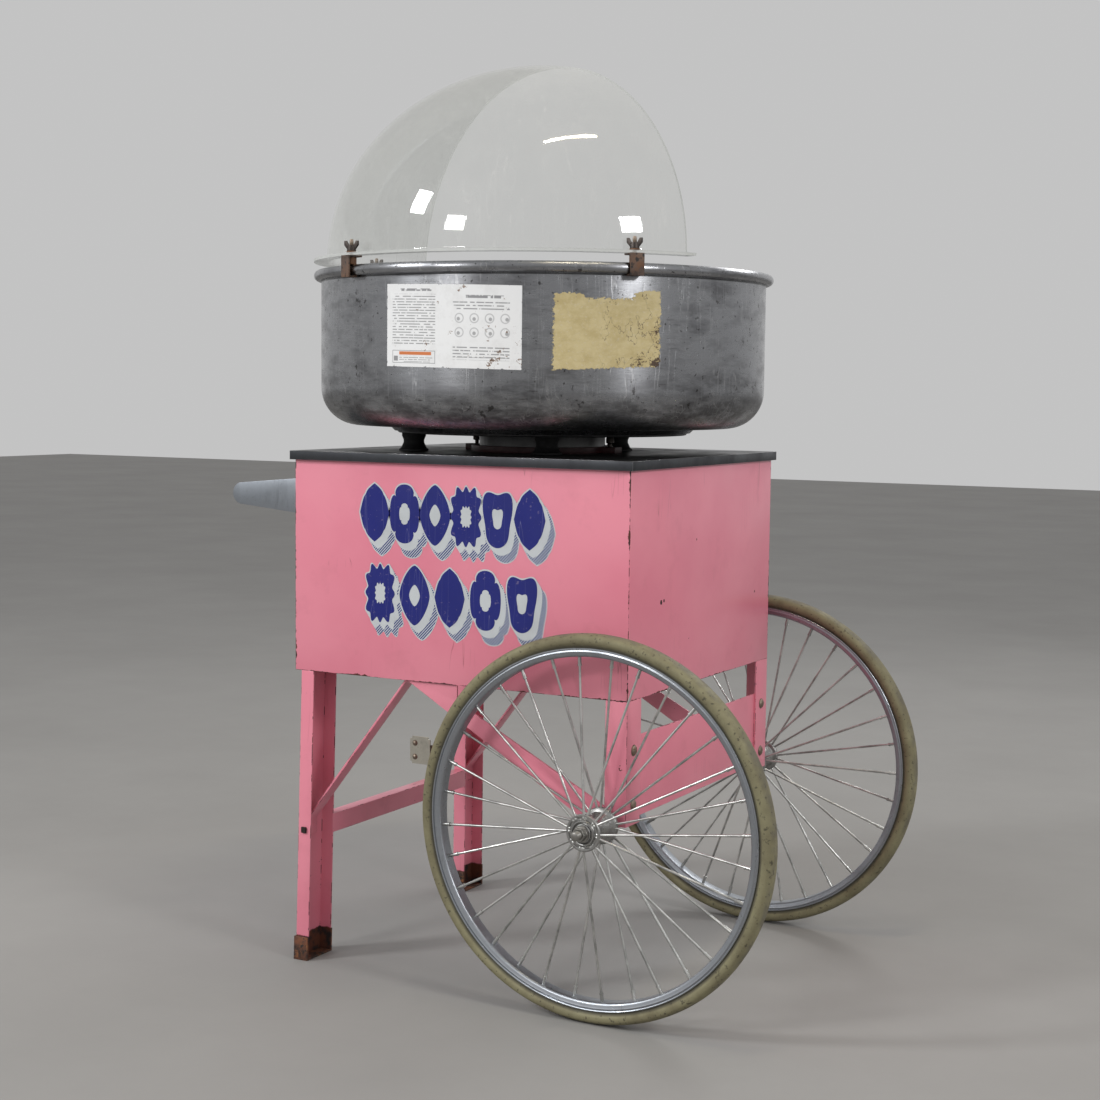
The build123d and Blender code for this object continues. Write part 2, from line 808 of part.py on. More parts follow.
with BuildPart() as catch_plate:
    with Locations((leg_x - catch_reach, catch_y - catch_sheet / 2, catch_z)):
        Box(catch_plate_width, catch_sheet, catch_plate_height)
    fillet(catch_plate.edges().filter_by(Axis.Y), 3)
    for end in (-1, 1):
        screw_at = catch_z + end * catch_screw_pitch / 2
        with Locations((leg_x - catch_reach - catch_plate_width / 4, catch_y - catch_sheet - 1.5, screw_at)):
            Sphere(catch_screw)
    with Locations((leg_x - catch_reach, catch_y + catch_plate_width / 2, catch_z)):
        Box(catch_plate_width, catch_plate_width, catch_plate_height, mode=Mode.SUBTRACT)

# ---------------------------------------------------------------- motor unit
with BuildPart() as rubber_mounts:
    with Locations((machine_x, 0, 0)):
        spots = GridLocations(mount_spacing, mount_spacing, 2, 2).local_locations
    for spot in spots:
        centre = (machine_x + spot.position.X, spot.position.Y)
        with BuildSketch(Plane((*centre, counter_top_z), x_dir=(1, 0, 0), z_dir=(0, -1, 0))):
            with BuildLine():
                Polyline(
                    (0, 0),
                    (mount_foot, 0),
                    (mount_foot, 2),
                    (mount_radius, mount_height / 3),
                    (mount_radius, mount_height),
                    (0, mount_height),
                    close=True,
                )
            make_face()
        revolve(axis=Axis((*centre, 0), (0, 0, 1)))

with BuildPart() as mounting_plate:
    with BuildSketch(Plane.XY.offset(plate_z)):
        with Locations((machine_x, 0)):
            Circle(plate_radius)
            Circle(bearing_radius, mode=Mode.SUBTRACT)
    extrude(amount=plate_sheet)
    lower_rims = mounting_plate.edges().filter_by(GeomType.CIRCLE).group_by(Axis.Z)[0]
    chamfer(lower_rims.sort_by(SortBy.RADIUS)[-1], plate_sheet / 2)
    with BuildSketch(Plane.XY.offset(bowl_z)):
        with Locations((machine_x, 0)):
            Circle(bowl_hole - 1)
            Circle(bowl_hole - 3, mode=Mode.SUBTRACT)
    extrude(amount=bowl_sheet + spigot_height)

with BuildPart() as motor_drum:
    with BuildSketch(Plane.XY.offset(plate_z - drum_depth)):
        with Locations((machine_x, 0)):
            Circle(drum_radius)
    extrude(amount=drum_depth)
    with BuildSketch(Plane.XY.offset(plate_z - drum_depth + drum_sheet)):
        with Locations((machine_x, 0)):
            Circle(drum_radius - drum_sheet)
    extrude(amount=drum_depth, mode=Mode.SUBTRACT)
    with BuildSketch(Plane.XY.offset(plate_z - drum_depth)):
        with Locations((machine_x, 0)):
            with PolarLocations(drum_radius * 0.6, vent_count):
                Circle(vent_radius)
    extrude(amount=drum_sheet, mode=Mode.SUBTRACT)

motor_low = plate_z - drum_depth + 34
chamber_low = motor_low + 22
chamber_high = plate_z - 26

with BuildPart() as motor_body:
    with BuildSketch(upright(machine_x)):
        with BuildLine():
            Polyline(
                (shaft_radius + 2, motor_low),
                (motor_radius - 8, motor_low),
                (motor_radius, motor_low + 8),
                (motor_radius, plate_z - 4),
                (motor_radius + 18, plate_z - 4),
                (motor_radius + 18, plate_z),
                (shaft_radius + 2, plate_z),
                (shaft_radius + 2, chamber_high + 12),
                (bearing_radius, chamber_high + 12),
                (bearing_radius, chamber_high),
                (rotor_radius + 1, chamber_high),
                (rotor_radius + 1, chamber_low),
                (bearing_radius, chamber_low),
                (bearing_radius, chamber_low - 12),
                (shaft_radius + 2, chamber_low - 12),
                close=True,
            )
        make_face()
    revolve(axis=machine_axis)

with BuildPart() as motor_bearings:
    for low in (chamber_low - 12, chamber_high):
        with BuildSketch(Plane.XY.offset(low)):
            with Locations((machine_x, 0)):
                Circle(bearing_radius)
                Circle(shaft_radius + running, mode=Mode.SUBTRACT)
        extrude(amount=12)

with BuildPart() as motor_rotor:
    with BuildSketch(upright(machine_x)):
        with BuildLine():
            Polyline(
                (0, motor_low + 4),
                (shaft_radius, motor_low + 4),
                (shaft_radius, chamber_low + 5),
                (rotor_radius, chamber_low + 5),
                (rotor_radius, chamber_high - 5),
                (shaft_radius, chamber_high - 5),
                (shaft_radius, head_z + 3),
                (0, head_z + 3),
                close=True,
            )
        make_face()
    revolve(axis=machine_axis)

ring_radius = shaft_radius + 9
neck_radius = 40
neck_top = head_z - 4
ring_heights = [bowl_z + 8, bowl_z + 20]

with BuildPart() as slip_rings:
    with BuildSketch(upright(machine_x)):
        with BuildLine():
            Polyline(
                (shaft_radius, bowl_z + 3),
                (ring_radius - 3, bowl_z + 3),
                (ring_radius - 3, head_z),
                (shaft_radius, head_z),
                close=True,
            )
        make_face()
        for low in ring_heights:
            with BuildLine():
                Polyline(
                    (ring_radius - 4, low),
                    (ring_radius, low),
                    (ring_radius, low + 6),
                    (ring_radius - 4, low + 6),
                    close=True,
                )
            make_face()
    revolve(axis=machine_axis)

with BuildPart() as brush_housing:
    with BuildSketch(Plane.XY.offset(bowl_z)):
        with Locations((machine_x, 0)):
            Circle(neck_radius)
            Circle(neck_radius - 3, mode=Mode.SUBTRACT)
    extrude(amount=neck_top - bowl_z)
    for low, turn in zip(ring_heights, (-1, 1)):
        reach = neck_radius - 2 - ring_radius - 2 * clear
        with Locations((machine_x + turn * (ring_radius + 2 * clear + reach / 2), 0, low + 3)):
            Box(reach, 8, 5)

ear_middle = drum_radius + ear_reach / 2 + collar_width / 4

with BuildPart() as motor_collar:
    with BuildSketch(Plane.XY.offset(counter_top_z)):
        with Locations((machine_x, 0)):
            Circle(drum_radius + collar_width)
            with PolarLocations(drum_radius + ear_reach / 2, 2):
                Rectangle(ear_reach, ear_width)
            Circle(drum_radius + clear, mode=Mode.SUBTRACT)
            with PolarLocations(ear_middle, 2):
                Circle(thumb_radius + running, mode=Mode.SUBTRACT)
    extrude(amount=collar_height)


def thumb_screw(side):
    """Round-headed clamp screw through an ear of the collar."""
    x = machine_x + side * ear_middle
    head_low = collar_height + 5
    with BuildPart() as screw:
        with BuildSketch(upright(x, counter_top_z)):
            with BuildLine():
                Polyline(
                    (0, -thumb_tail),
                    (thumb_radius, -thumb_tail),
                    (thumb_radius, head_low),
                    (2 * thumb_radius, head_low + 2),
                    (2 * thumb_radius, head_low + thumb_head - 2),
                    (1.5 * thumb_radius, head_low + thumb_head),
                    (0, head_low + thumb_head),
                    close=True,
                )
            make_face()
        revolve(axis=Axis((x, 0, 0), (0, 0, 1)))
    return screw


thumb_screw_front = thumb_screw(-1)
thumb_screw_rear = thumb_screw(1)

# ---------------------------------------------------------------- spinner
band_low = head_z + 3
cap_z = head_z + head_height

with BuildPart() as spinner_base:
    with BuildSketch(upright(machine_x)):
        with BuildLine():
            Polyline(
                (shaft_radius, head_z),
                (head_radius, head_z),
                (head_radius, head_z + 9),
                (head_radius - 2, head_z + 9),
                (head_radius - 2, band_low),
                (ring_radius, band_low),
                (ring_radius, head_z + 10),
                (shaft_radius, head_z + 10),
                close=True,
            )
        make_face()
    revolve(axis=machine_axis)
    with BuildSketch(Plane.XY.offset(band_low)):
        with Locations((machine_x, 0)):
            with PolarLocations(head_radius - pillar_inset, 3, start_angle=30):
                Circle(pillar_radius)
    extrude(amount=cap_z - band_low)

with BuildPart() as heating_band:
    with BuildSketch(Plane.XY.offset(band_low)):
        with Locations((machine_x, 0)):
            Circle(head_radius - band_inset)
            Circle(head_radius - band_inset - band_sheet, mode=Mode.SUBTRACT)
    extrude(amount=cap_z - band_low)
    with Locations((machine_x, 0, (band_low + cap_z) / 2)):
        with PolarLocations(head_radius - band_inset - band_sheet / 2, slot_count):
            Box(3 * band_sheet, slot_width, cap_z - band_low - 2 * slot_margin, mode=Mode.SUBTRACT)

with BuildPart() as spinner_cap:
    with BuildSketch(upright(machine_x)):
        with BuildLine():
            Polyline(
                (well_radius, cap_z + well_height),
                (well_radius - 2, cap_z + well_height),
                (well_radius - 2, cap_z + 12),
                (head_radius - 14, cap_z),
                (head_radius, cap_z),
                (head_radius, cap_z + 2),
                (head_radius - 13, cap_z + 2.2),
                (well_radius, cap_z + 14),
                close=True,
            )
        make_face()
    revolve(axis=machine_axis)

# ---------------------------------------------------------------- bowl
with BuildPart() as bowl:
    with BuildSketch(upright(machine_x, bowl_z)) as wall:
        with BuildLine():
            Polyline(
                (bowl_hole, 0),
                (bowl_seat, 0),
                (bowl_seat + bowl_rise, bowl_rise),
                (bowl_radius, bowl_rise),
                (bowl_radius, bowl_height),
                (bowl_radius - bowl_sheet, bowl_height),
                (bowl_radius - bowl_sheet, bowl_rise + bowl_sheet),
                (bowl_seat + bowl_rise - bowl_sheet / 2, bowl_rise + bowl_sheet),
                (bowl_seat - bowl_sheet / 2, bowl_sheet),
                (bowl_hole, bowl_sheet),
                close=True,
            )
        make_face()
        fillet(wall.vertices().sort_by_distance((bowl_radius, bowl_rise))[0], bowl_corner)
        inside_corner = (bowl_radius - bowl_sheet, bowl_rise + bowl_sheet)
        inner_corner = wall.vertices().sort_by_distance(inside_corner)[0]
        fillet(inner_corner, bowl_corner - bowl_sheet)
        with Locations((bead_ring, bowl_height)):
            Circle(bead_radius)
    revolve(axis=machine_axis)

# ---------------------------------------------------------------- dome
with BuildPart() as dome:
    with BuildSketch(upright(machine_x, flange_z, dome_start)):
        with BuildLine():
            outer_curve = EllipticalCenterArc((0, 0), dome_radius, dome_height, 0, arc_size=90)
            inner_size = (dome_radius - dome_sheet, dome_height - dome_sheet)
            inner_curve = EllipticalCenterArc((0, 0), *inner_size, 0, arc_size=90)
            Line(outer_curve @ 1, inner_curve @ 1)
            Line(outer_curve @ 0, inner_curve @ 0)
        make_face()
        with Locations((dome_radius - dome_sheet + (dome_flange + dome_sheet) / 2, dome_flange_sheet / 2)):
            Rectangle(dome_flange + dome_sheet, dome_flange_sheet)
    revolve(axis=machine_axis, revolution_arc=180)
    bolt_spots = [Vector(bolt_ring, 0, 0).rotate(Axis.Z, turn) for turn in clip_angles]
    with BuildSketch(Plane.XY.offset(flange_z)):
        with Locations(*[(machine_x + spot.X, spot.Y) for spot in bolt_spots]):
            Circle(bolt_radius)
    extrude(amount=dome_flange_sheet, mode=Mode.SUBTRACT)

clip_high = flange_z
clip_reach = bead_ring + bead_radius + clip_sheet + 2
clip_line = [
    (bead_ring - 2, bead_z - bead_radius - clip_sheet - clear),
    (clip_reach, bead_z - bead_radius - clip_sheet - clear),
    (clip_reach, clip_high),
    (bead_ring - 10, clip_high),
]

with BuildPart() as clip_brackets:
    for turn in clip_angles:
        with BuildSketch(upright(machine_x, 0, turn).offset(-clip_width / 2)):
            with BuildLine():
                Polyline(*clip_line)
                offset(amount=clip_sheet, side=Side.LEFT, kind=Kind.INTERSECTION)
            make_face()
        extrude(amount=clip_width)
        spot = Vector(bolt_ring, 0, 0).rotate(Axis.Z, turn)
        with BuildSketch(Plane.XY.offset(clip_high - 2 * clip_sheet)):
            with Locations((machine_x + spot.X, spot.Y)):
                Circle(bolt_radius)
        extrude(amount=2 * clip_sheet, mode=Mode.SUBTRACT)

pad_low = bead_z + bead_radius
pad_high = clip_high - clip_sheet

with BuildPart() as clip_pads:
    for turn in clip_angles:
        spot = Vector(bolt_ring, 0, 0).rotate(Axis.Z, turn)
        with BuildSketch(Plane.XY.offset(pad_low)):
            with Locations((machine_x + spot.X, spot.Y)):
                Circle(pad_radius)
                Circle(bolt_radius, mode=Mode.SUBTRACT)
        extrude(amount=pad_high - pad_low)
        with BuildSketch(Plane.XY.offset(flange_z + dome_flange_sheet)):
            with Locations((machine_x + spot.X, spot.Y)):
                Circle(pad_radius)
                Circle(bolt_radius, mode=Mode.SUBTRACT)
        extrude(amount=pad_sheet)

nut_z = flange_z + dome_flange_sheet + pad_sheet + clear

with BuildPart() as clip_bolts:
    for turn in clip_angles:
        spot = Vector(bolt_ring, 0, 0).rotate(Axis.Z, turn)
        with BuildSketch(Plane.XY.offset(pad_low + 1)):
            with Locations((machine_x + spot.X, spot.Y)):
                Circle(bolt_radius)
        extrude(amount=nut_z + bolt_tail - pad_low - 1)


def wing_nut(turn):
    """Two-winged nut running on a clip bolt."""
    spot = Vector(bolt_ring, 0, 0).rotate(Axis.Z, turn) + Vector(machine_x, 0, 0)
    with BuildPart() as nut:
        with BuildSketch(Plane.XY.offset(nut_z)):
            with Locations((spot.X, spot.Y)):
                Circle(6.5)
        extrude(amount=8, taper=8)
        with BuildSketch(Plane((spot.X, spot.Y, nut_z), x_dir=(1, 0, 0), z_dir=(0, -1, 0))):
            for wing in (-1, 1):
                with BuildLine():
                    Polyline(
                        (wing * 3.5, 1),
                        (wing * 5.5, 1),
                        (wing * wing_reach, 8),
                        (wing * wing_reach, wing_height),
                        (wing * 8, wing_height),
                        (wing * 3.5, 7),
                        close=True,
                    )
                make_face()
        extrude(amount=wing_sheet / 2, both=True)
        with BuildSketch(Plane.XY.offset(nut_z)):
            with Locations((spot.X, spot.Y)):
                Circle(bolt_radius + running)
        extrude(amount=20, mode=Mode.SUBTRACT)
    return nut


clip_places = zip(("front", "middle", "rear"), clip_angles)
wing_nuts = {f"wing_nut_{place}": wing_nut(turn) for place, turn in clip_places}

# ---------------------------------------------------------------- write the parts
pieces = {
    "cabinet_shell": cabinet_shell,
    "cabinet_floor": cabinet_floor,
    "counter_top": counter_top,
    "cord_grommet": cord_grommet,
    "door_panel": door_panel,
    "door_hinges": door_hinges,
    "door_latch": door_latch,
    "control_panel": control_panel,
    "control_bodies": control_bodies,
    "heat_knob": heat_knob,
    "main_switch_lever": main_switch_lever,
    "heat_switch_lever": heat_switch_lever,
    "front_leg_left": front_leg_left,
    "front_leg_right": front_leg_right,
    "front_boots": front_boots,
    "front_cross_bar": front_cross_bar,
    "front_struts": front_struts,
    "rear_leg_left": rear_leg_left,
    "rear_leg_right": rear_leg_right,
    "rear_braces": rear_braces,
    "rear_panel": rear_panel,
    "frame_bolts": frame_bolts,
    "axle": axle,
    "axle_nuts": axle_nuts,
    "handle_arm_left": handle_arm_left,
    "handle_arm_right": handle_arm_right,
    "handle_bar": handle_bar,
    "catch_strap": catch_strap,
    "catch_plate": catch_plate,
    "rubber_mounts": rubber_mounts,
    "mounting_plate": mounting_plate,
    "motor_drum": motor_drum,
    "motor_body": motor_body,
    "motor_bearings": motor_bearings,
    "motor_rotor": motor_rotor,
    "motor_collar": motor_collar,
    "brush_housing": brush_housing,
    "slip_rings": slip_rings,
    "thumb_screw_front": thumb_screw_front,
    "thumb_screw_rear": thumb_screw_rear,
    "spinner_base": spinner_base,
    "heating_band": heating_band,
    "spinner_cap": spinner_cap,
    "bowl": bowl,
    "dome": dome,
    "clip_brackets": clip_brackets,
    "clip_pads": clip_pads,
    "clip_bolts": clip_bolts,
    **wing_nuts,
    **wheel_parts,
}

os.makedirs("parts", exist_ok=True)
for name, piece in pieces.items():
    piece.part.label = name
    export_step(piece.part, f"parts/{name}.step")
print(len(pieces), "parts written")
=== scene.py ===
import json
import math

import bmesh
import bpy
from mathutils import Matrix, Vector

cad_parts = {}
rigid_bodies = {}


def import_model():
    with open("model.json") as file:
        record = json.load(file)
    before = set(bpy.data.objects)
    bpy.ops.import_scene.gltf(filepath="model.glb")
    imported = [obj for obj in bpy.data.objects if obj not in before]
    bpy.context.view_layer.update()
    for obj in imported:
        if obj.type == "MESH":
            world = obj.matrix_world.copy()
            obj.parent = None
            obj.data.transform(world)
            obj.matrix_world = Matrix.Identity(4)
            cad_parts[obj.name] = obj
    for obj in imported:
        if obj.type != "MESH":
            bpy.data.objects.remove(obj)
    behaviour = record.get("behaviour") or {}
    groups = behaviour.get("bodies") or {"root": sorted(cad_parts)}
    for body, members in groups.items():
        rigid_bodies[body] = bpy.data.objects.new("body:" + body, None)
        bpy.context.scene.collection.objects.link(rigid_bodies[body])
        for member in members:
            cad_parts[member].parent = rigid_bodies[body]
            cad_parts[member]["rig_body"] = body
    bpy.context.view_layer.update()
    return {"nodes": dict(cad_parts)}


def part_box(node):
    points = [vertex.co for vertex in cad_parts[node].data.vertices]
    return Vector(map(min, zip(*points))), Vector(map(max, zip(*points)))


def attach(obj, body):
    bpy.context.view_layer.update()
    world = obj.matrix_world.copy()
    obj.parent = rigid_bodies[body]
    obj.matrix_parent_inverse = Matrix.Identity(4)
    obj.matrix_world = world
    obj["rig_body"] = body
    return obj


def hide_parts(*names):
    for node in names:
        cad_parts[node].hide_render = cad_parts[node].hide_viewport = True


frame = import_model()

mm = 0.001
oneDegree = math.pi / 180
scene = bpy.context.scene
print("frame loaded:", len(frame["nodes"]), "nodes")


# node trees written as expressions
class Wire:  # one socket that takes part in arithmetic
    def __init__(self, board, socket):
        self.board = board
        self.socket = socket

    def __add__(self, other):
        return self.board.math("ADD", self, other)

    def __sub__(self, other):
        return self.board.math("SUBTRACT", self, other)

    def __rtruediv__(self, other):
        return self.board.math("DIVIDE", other, self)

    def __rsub__(self, other):
        return self.board.math("SUBTRACT", other, self)

    def __mul__(self, other):
        return self.board.math("MULTIPLY", self, other)

    def __truediv__(self, other):
        return self.board.math("DIVIDE", self, other)

    def __pow__(self, other):
        return self.board.math("POWER", self, other)

    def __mod__(self, other):
        return self.board.math("FLOORED_MODULO", self, other)

    def __abs__(self):
        return self.board.math("ABSOLUTE", self, 0)

    __radd__ = __add__
    __rmul__ = __mul__

    def most(self, other):
        return self.board.math("MAXIMUM", self, other)

    def least(self, other):
        return self.board.math("MINIMUM", self, other)

    def rise(self, low, high):  # 0 below low, 1 above high, straight between; low may be the larger
        return self.board.first("ShaderNodeMapRange", {}, {"Value": self, "From Min": low, "From Max": high})

    def line(self, middle, half):  # 1 in a narrow band round middle, soft at both sides
        return abs(self - middle).rise(half, half * 0.4)


class Board:  # a node tree
    def __init__(self, tree):
        self.tree = tree

    def node(self, kind, settings=None, values=None):
        made = self.tree.nodes.new(kind)
        for key, value in (settings or {}).items():
            setattr(made, key, value)
        for key, value in (values or {}).items():
            if isinstance(key, int):
                socket = made.inputs[key]
            else:
                socket = next(s for s in made.inputs if s.name == key and s.enabled)
            if isinstance(value, Wire):
                self.tree.links.new(value.socket, socket)
            elif socket.type == "RGBA" and len(value) == 3:
                socket.default_value = (*value, 1)
            else:
                socket.default_value = value
        return made

    def first(self, kind, settings=None, values=None):
        return Wire(self, self.node(kind, settings, values).outputs[0])

    def out(self, made, name):
        return Wire(self, next(s for s in made.outputs if s.name == name and s.enabled))

    def math(self, operation, first, second):
        return self.first("ShaderNodeMath", {"operation": operation}, {0: first, 1: second})

    def wave(self, operation, value):
        return self.first("ShaderNodeMath", {"operation": operation}, {0: value})

    def vector(self, operation, first, second):
        return self.first("ShaderNodeVectorMath", {"operation": operation}, {0: first, 1: second})

    def combine(self, x, y, z):
        return self.first("ShaderNodeCombineXYZ", {}, {"X": x, "Y": y, "Z": z})

    def split(self, vector):
        parts = self.node("ShaderNodeSeparateXYZ", {}, {"Vector": vector})
        return [Wire(self, parts.outputs[i]) for i in range(3)]


class Paint(Board):  # one material with its main shader
    def __init__(self, name, fixed):
        self.material = bpy.data.materials.new(name)
        self.material.use_nodes = True
        super().__init__(self.material.node_tree)
        self.shader = self.tree.nodes["Principled BSDF"]
        self.end = self.tree.nodes["Material Output"]
        for key, value in fixed.items():
            socket = self.shader.inputs[key]
            socket.default_value = (*value, 1) if socket.type == "RGBA" else value
        self.body = Wire(self, self.shader.outputs[0])
        self.place = self.out(self.node("ShaderNodeTexCoord"), "Object")

    def noise(self, scale, detail=3, roughness=0.55, where=None):
        sizes = {"Scale": scale, "Detail": detail, "Roughness": roughness}
        return self.first("ShaderNodeTexNoise", {}, {"Vector": where or self.place, **sizes})

    def mix(self, factor, first, second):
        values = {"Factor": factor, "A": first, "B": second}
        return self.out(self.node("ShaderNodeMix", {"data_type": "RGBA"}, values), "Result")

    def layers(self, colour, *coats):  # each coat is an amount and the colour it brings
        for amount, tint in coats:
            colour = self.mix(amount, colour, tint)
        return colour

    def over(self, amount, below, above):
        return self.first("ShaderNodeMixShader", {}, {0: amount, 1: below, 2: above})

    def marked(self, name):  # a mesh attribute, such as the softened edges
        return self.out(self.node("ShaderNodeAttribute", {"attribute_name": name}), "Fac")

    def radius(self, x, y):
        return self.wave("SQRT", x ** 2 + y ** 2)

    def scratches(self, scale, width, turns):  # fine lines in a few directions
        total = None
        for turn in turns:
            values = {"Vector": self.place, "Rotation": turn, "Scale": (1, 1, 0.06)}
            lines = self.noise(scale, 2, 0.5, self.first("ShaderNodeMapping", {}, values)).line(0.5, width)
            total = lines if total is None else total.most(lines)
        return total

    def feed(self, name, value):
        self.tree.links.new(value.socket, self.shader.inputs[name])

    def relief(self, height, distance, strength=1.0):
        values = {"Height": height, "Distance": distance, "Strength": strength}
        self.feed("Normal", self.first("ShaderNodeBump", {}, values))


# meshes
def pieceFrom(name, mesh, body, slot, *replaced):
    piece = bpy.data.objects.new(name, mesh)
    scene.collection.objects.link(piece)
    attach(piece, body)
    if replaced:
        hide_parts(*replaced)
    return piece


def lookOf(node, mesh, slot):  # the piece shown in place of a node, riding on the node's body
    return pieceFrom(node + ".look", mesh, frame["nodes"][node]["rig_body"], slot, node)


def smoothed(mesh, angle=32):
    mesh.shade_smooth()
    mesh.set_sharp_from_angle(angle=math.radians(angle))
    return mesh


def cleaned(mesh):  # one closed skin with its faces outwards
    work = bmesh.new()
    work.from_mesh(mesh)
    bmesh.ops.remove_doubles(work, verts=work.verts, dist=1e-6)
    bmesh.ops.recalc_face_normals(work, faces=work.faces)
    work.to_mesh(mesh)
    work.free()
    return mesh


def meshFrom(work, name, paint):  # closes a bmesh into a painted mesh
    mesh = bpy.data.meshes.new(name)
    work.to_mesh(mesh)
    work.free()
    mesh.materials.append(paint.material)
    return mesh


def softBox(name, middle, size, offset, segments, paint):
    work = bmesh.new()
    bmesh.ops.create_cube(work, size=1, matrix=Matrix.Translation(middle) @ Matrix.Diagonal((*size, 1)))
    bmesh.ops.bevel(work, geom=work.edges[:], offset=offset, segments=segments, affect="EDGES")
    return smoothed(meshFrom(work, name, paint))


def meshOf(name, corners, faces, paint=None):
    mesh = bpy.data.meshes.new(name)
    mesh.from_pydata([tuple(c) for c in corners], [], faces)
    if paint:
        mesh.materials.append(paint.material)
    return mesh


def evaluated(thing):
    graph = bpy.context.evaluated_depsgraph_get()
    return bpy.data.meshes.new_from_object(thing.evaluated_get(graph))


def fromCad(node, paint, slot, width):  # the node's own shape with softened edges
    mesh = frame["nodes"][node].data.copy()
    work = bmesh.new()
    work.from_mesh(mesh)
    bmesh.ops.remove_doubles(work, verts=work.verts, dist=2e-6)
    bmesh.ops.dissolve_limit(work, angle_limit=math.radians(0.6), verts=work.verts, edges=work.edges)
    if width:
        rim = work.faces.layers.float.new("rim")
        sharp = [e for e in work.edges if len(e.link_faces) == 2 and e.calc_face_angle() > math.radians(40)]
        made = bmesh.ops.bevel(
            work, geom=sharp, offset=width * mm, segments=2, profile=0.6, affect="EDGES", clamp_overlap=True
        )
        for face in made["faces"]:
            face[rim] = 1
    work.to_mesh(mesh)
    work.free()
    mesh.materials.clear()
    mesh.materials.append(paint.material)
    return lookOf(node, smoothed(mesh), slot)


def turned(name, profile, centre, axis, paint, steps=128, arc=360, start=0, angle=32):
    # a closed profile of (radius, along) points in mm turned about an axis; a part turn gets flat ends
    whole = arc == 360
    count = steps if whole else steps + 1
    corners, faces = [], []
    for step in range(count):
        turn = math.radians(start + arc * step / steps)
        for radius, along in profile:
            across = (radius * mm * math.cos(turn), radius * mm * math.sin(turn))
            if axis == "Z":
                corners.append((centre[0] + across[0], centre[1] + across[1], centre[2] + along * mm))
            else:
                corners.append((centre[0] + across[0], centre[1] + along * mm, centre[2] + across[1]))
    size = len(profile)
    for step in range(steps):
        here, there = step * size, ((step + 1) % count) * size
        for spot in range(size):
            after = (spot + 1) % size
            faces.append((here + spot, there + spot, there + after, here + after))
    if not whole:
        faces.append(tuple(range(size)))
        faces.append(tuple(reversed(range(steps * size, (steps + 1) * size))))
    return smoothed(cleaned(meshOf(name, corners, faces, paint)), angle)


def arcPoints(centre, radius, first, last, count):  # angles in degrees
    turns = [math.radians(first + (last - first) * i / (count - 1)) for i in range(count)]
    return [(centre[0] + radius * math.cos(turn), centre[1] + radius * math.sin(turn)) for turn in turns]


def joined(name, meshes):
    work = bmesh.new()
    paints = []
    for mesh in meshes:
        paints += [paint for paint in mesh.materials if paint and paint not in paints]
        before = len(work.faces)
        work.from_mesh(mesh)
        work.faces.ensure_lookup_table()
        for face in work.faces[before:]:
            face.material_index = paints.index(mesh.materials[face.material_index])
    whole = bpy.data.meshes.new(name)
    for paint in paints:
        whole.materials.append(paint)
    work.to_mesh(whole)
    work.free()
    return whole


# geometry node trees
class Tree(Board):
    def __init__(self, name, sizes, geometryIn=False):
        group = bpy.data.node_groups.new(name, "GeometryNodeTree")
        super().__init__(group)
        if geometryIn:
            group.interface.new_socket("Geometry", in_out="INPUT", socket_type="NodeSocketGeometry")
        self.sizes = sizes
        for key, value in sizes.items():
            kind = "NodeSocketInt" if isinstance(value, int) else "NodeSocketFloat"
            group.interface.new_socket(key, in_out="INPUT", socket_type=kind).default_value = value
        group.interface.new_socket("Geometry", in_out="OUTPUT", socket_type="NodeSocketGeometry")
        self.source = self.node("NodeGroupInput")
        self.target = self.node("NodeGroupOutput")

    def size(self, name):
        return Wire(self, self.source.outputs[name])

    def placed(self, points, shape, values):
        values = {"Points": points, "Instance": shape, **values}
        return self.first("GeometryNodeInstanceOnPoints", {}, values)

    def along(self, direction, axis="Z"):
        return self.first("FunctionNodeAlignRotationToVector", {"axis": axis}, {"Vector": direction})

    def at(self, points, place):
        return self.first("GeometryNodeSetPosition", {}, {"Geometry": points, "Position": place})

    def box(self, x, y, z):
        return self.first("GeometryNodeMeshCube", {}, {"Size": self.combine(x, y, z)})

    def together(self, parts):
        join = self.node("GeometryNodeJoinGeometry")
        for part in reversed(parts):
            self.tree.links.new(part.socket, join.inputs[0])
        return Wire(self, join.outputs[0])

    def close(self, geometry, paint):
        real = self.first("GeometryNodeRealizeInstances", {}, {"Geometry": geometry})
        done = self.node("GeometryNodeSetMaterial", {}, {"Geometry": real, "Material": paint.material})
        self.tree.links.new(done.outputs[0], self.target.inputs[0])

    def grow(self, name, sizes, start=None):  # runs the tree once and keeps a plain mesh
        holder = bpy.data.objects.new(name + ".grow", start or bpy.data.meshes.new(name + ".seed"))
        scene.collection.objects.link(holder)
        modifier = holder.modifiers.new("Grow", "NODES")
        modifier.node_group = self.tree
        for item in self.tree.interface.items_tree:
            if item.in_out == "INPUT" and item.name in sizes:
                modifier[item.identifier] = sizes[item.name]
        mesh = evaluated(holder)
        bpy.data.objects.remove(holder)
        mesh.name = name
        return mesh


# places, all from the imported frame
cabinetLow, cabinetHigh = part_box("cabinet_shell")
bowlLow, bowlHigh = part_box("bowl")
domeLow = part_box("dome")[0]
machineX = (bowlLow.x + bowlHigh.x) / 2
axleLow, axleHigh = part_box("axle")
axleX, axleZ = (axleLow.x + axleHigh.x) / 2, (axleLow.z + axleHigh.z) / 2
sides = {"left": 1, "right": -1}
wheelY = {name: sum(corner.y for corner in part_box("rim_" + name)) / 2 for name in sides}


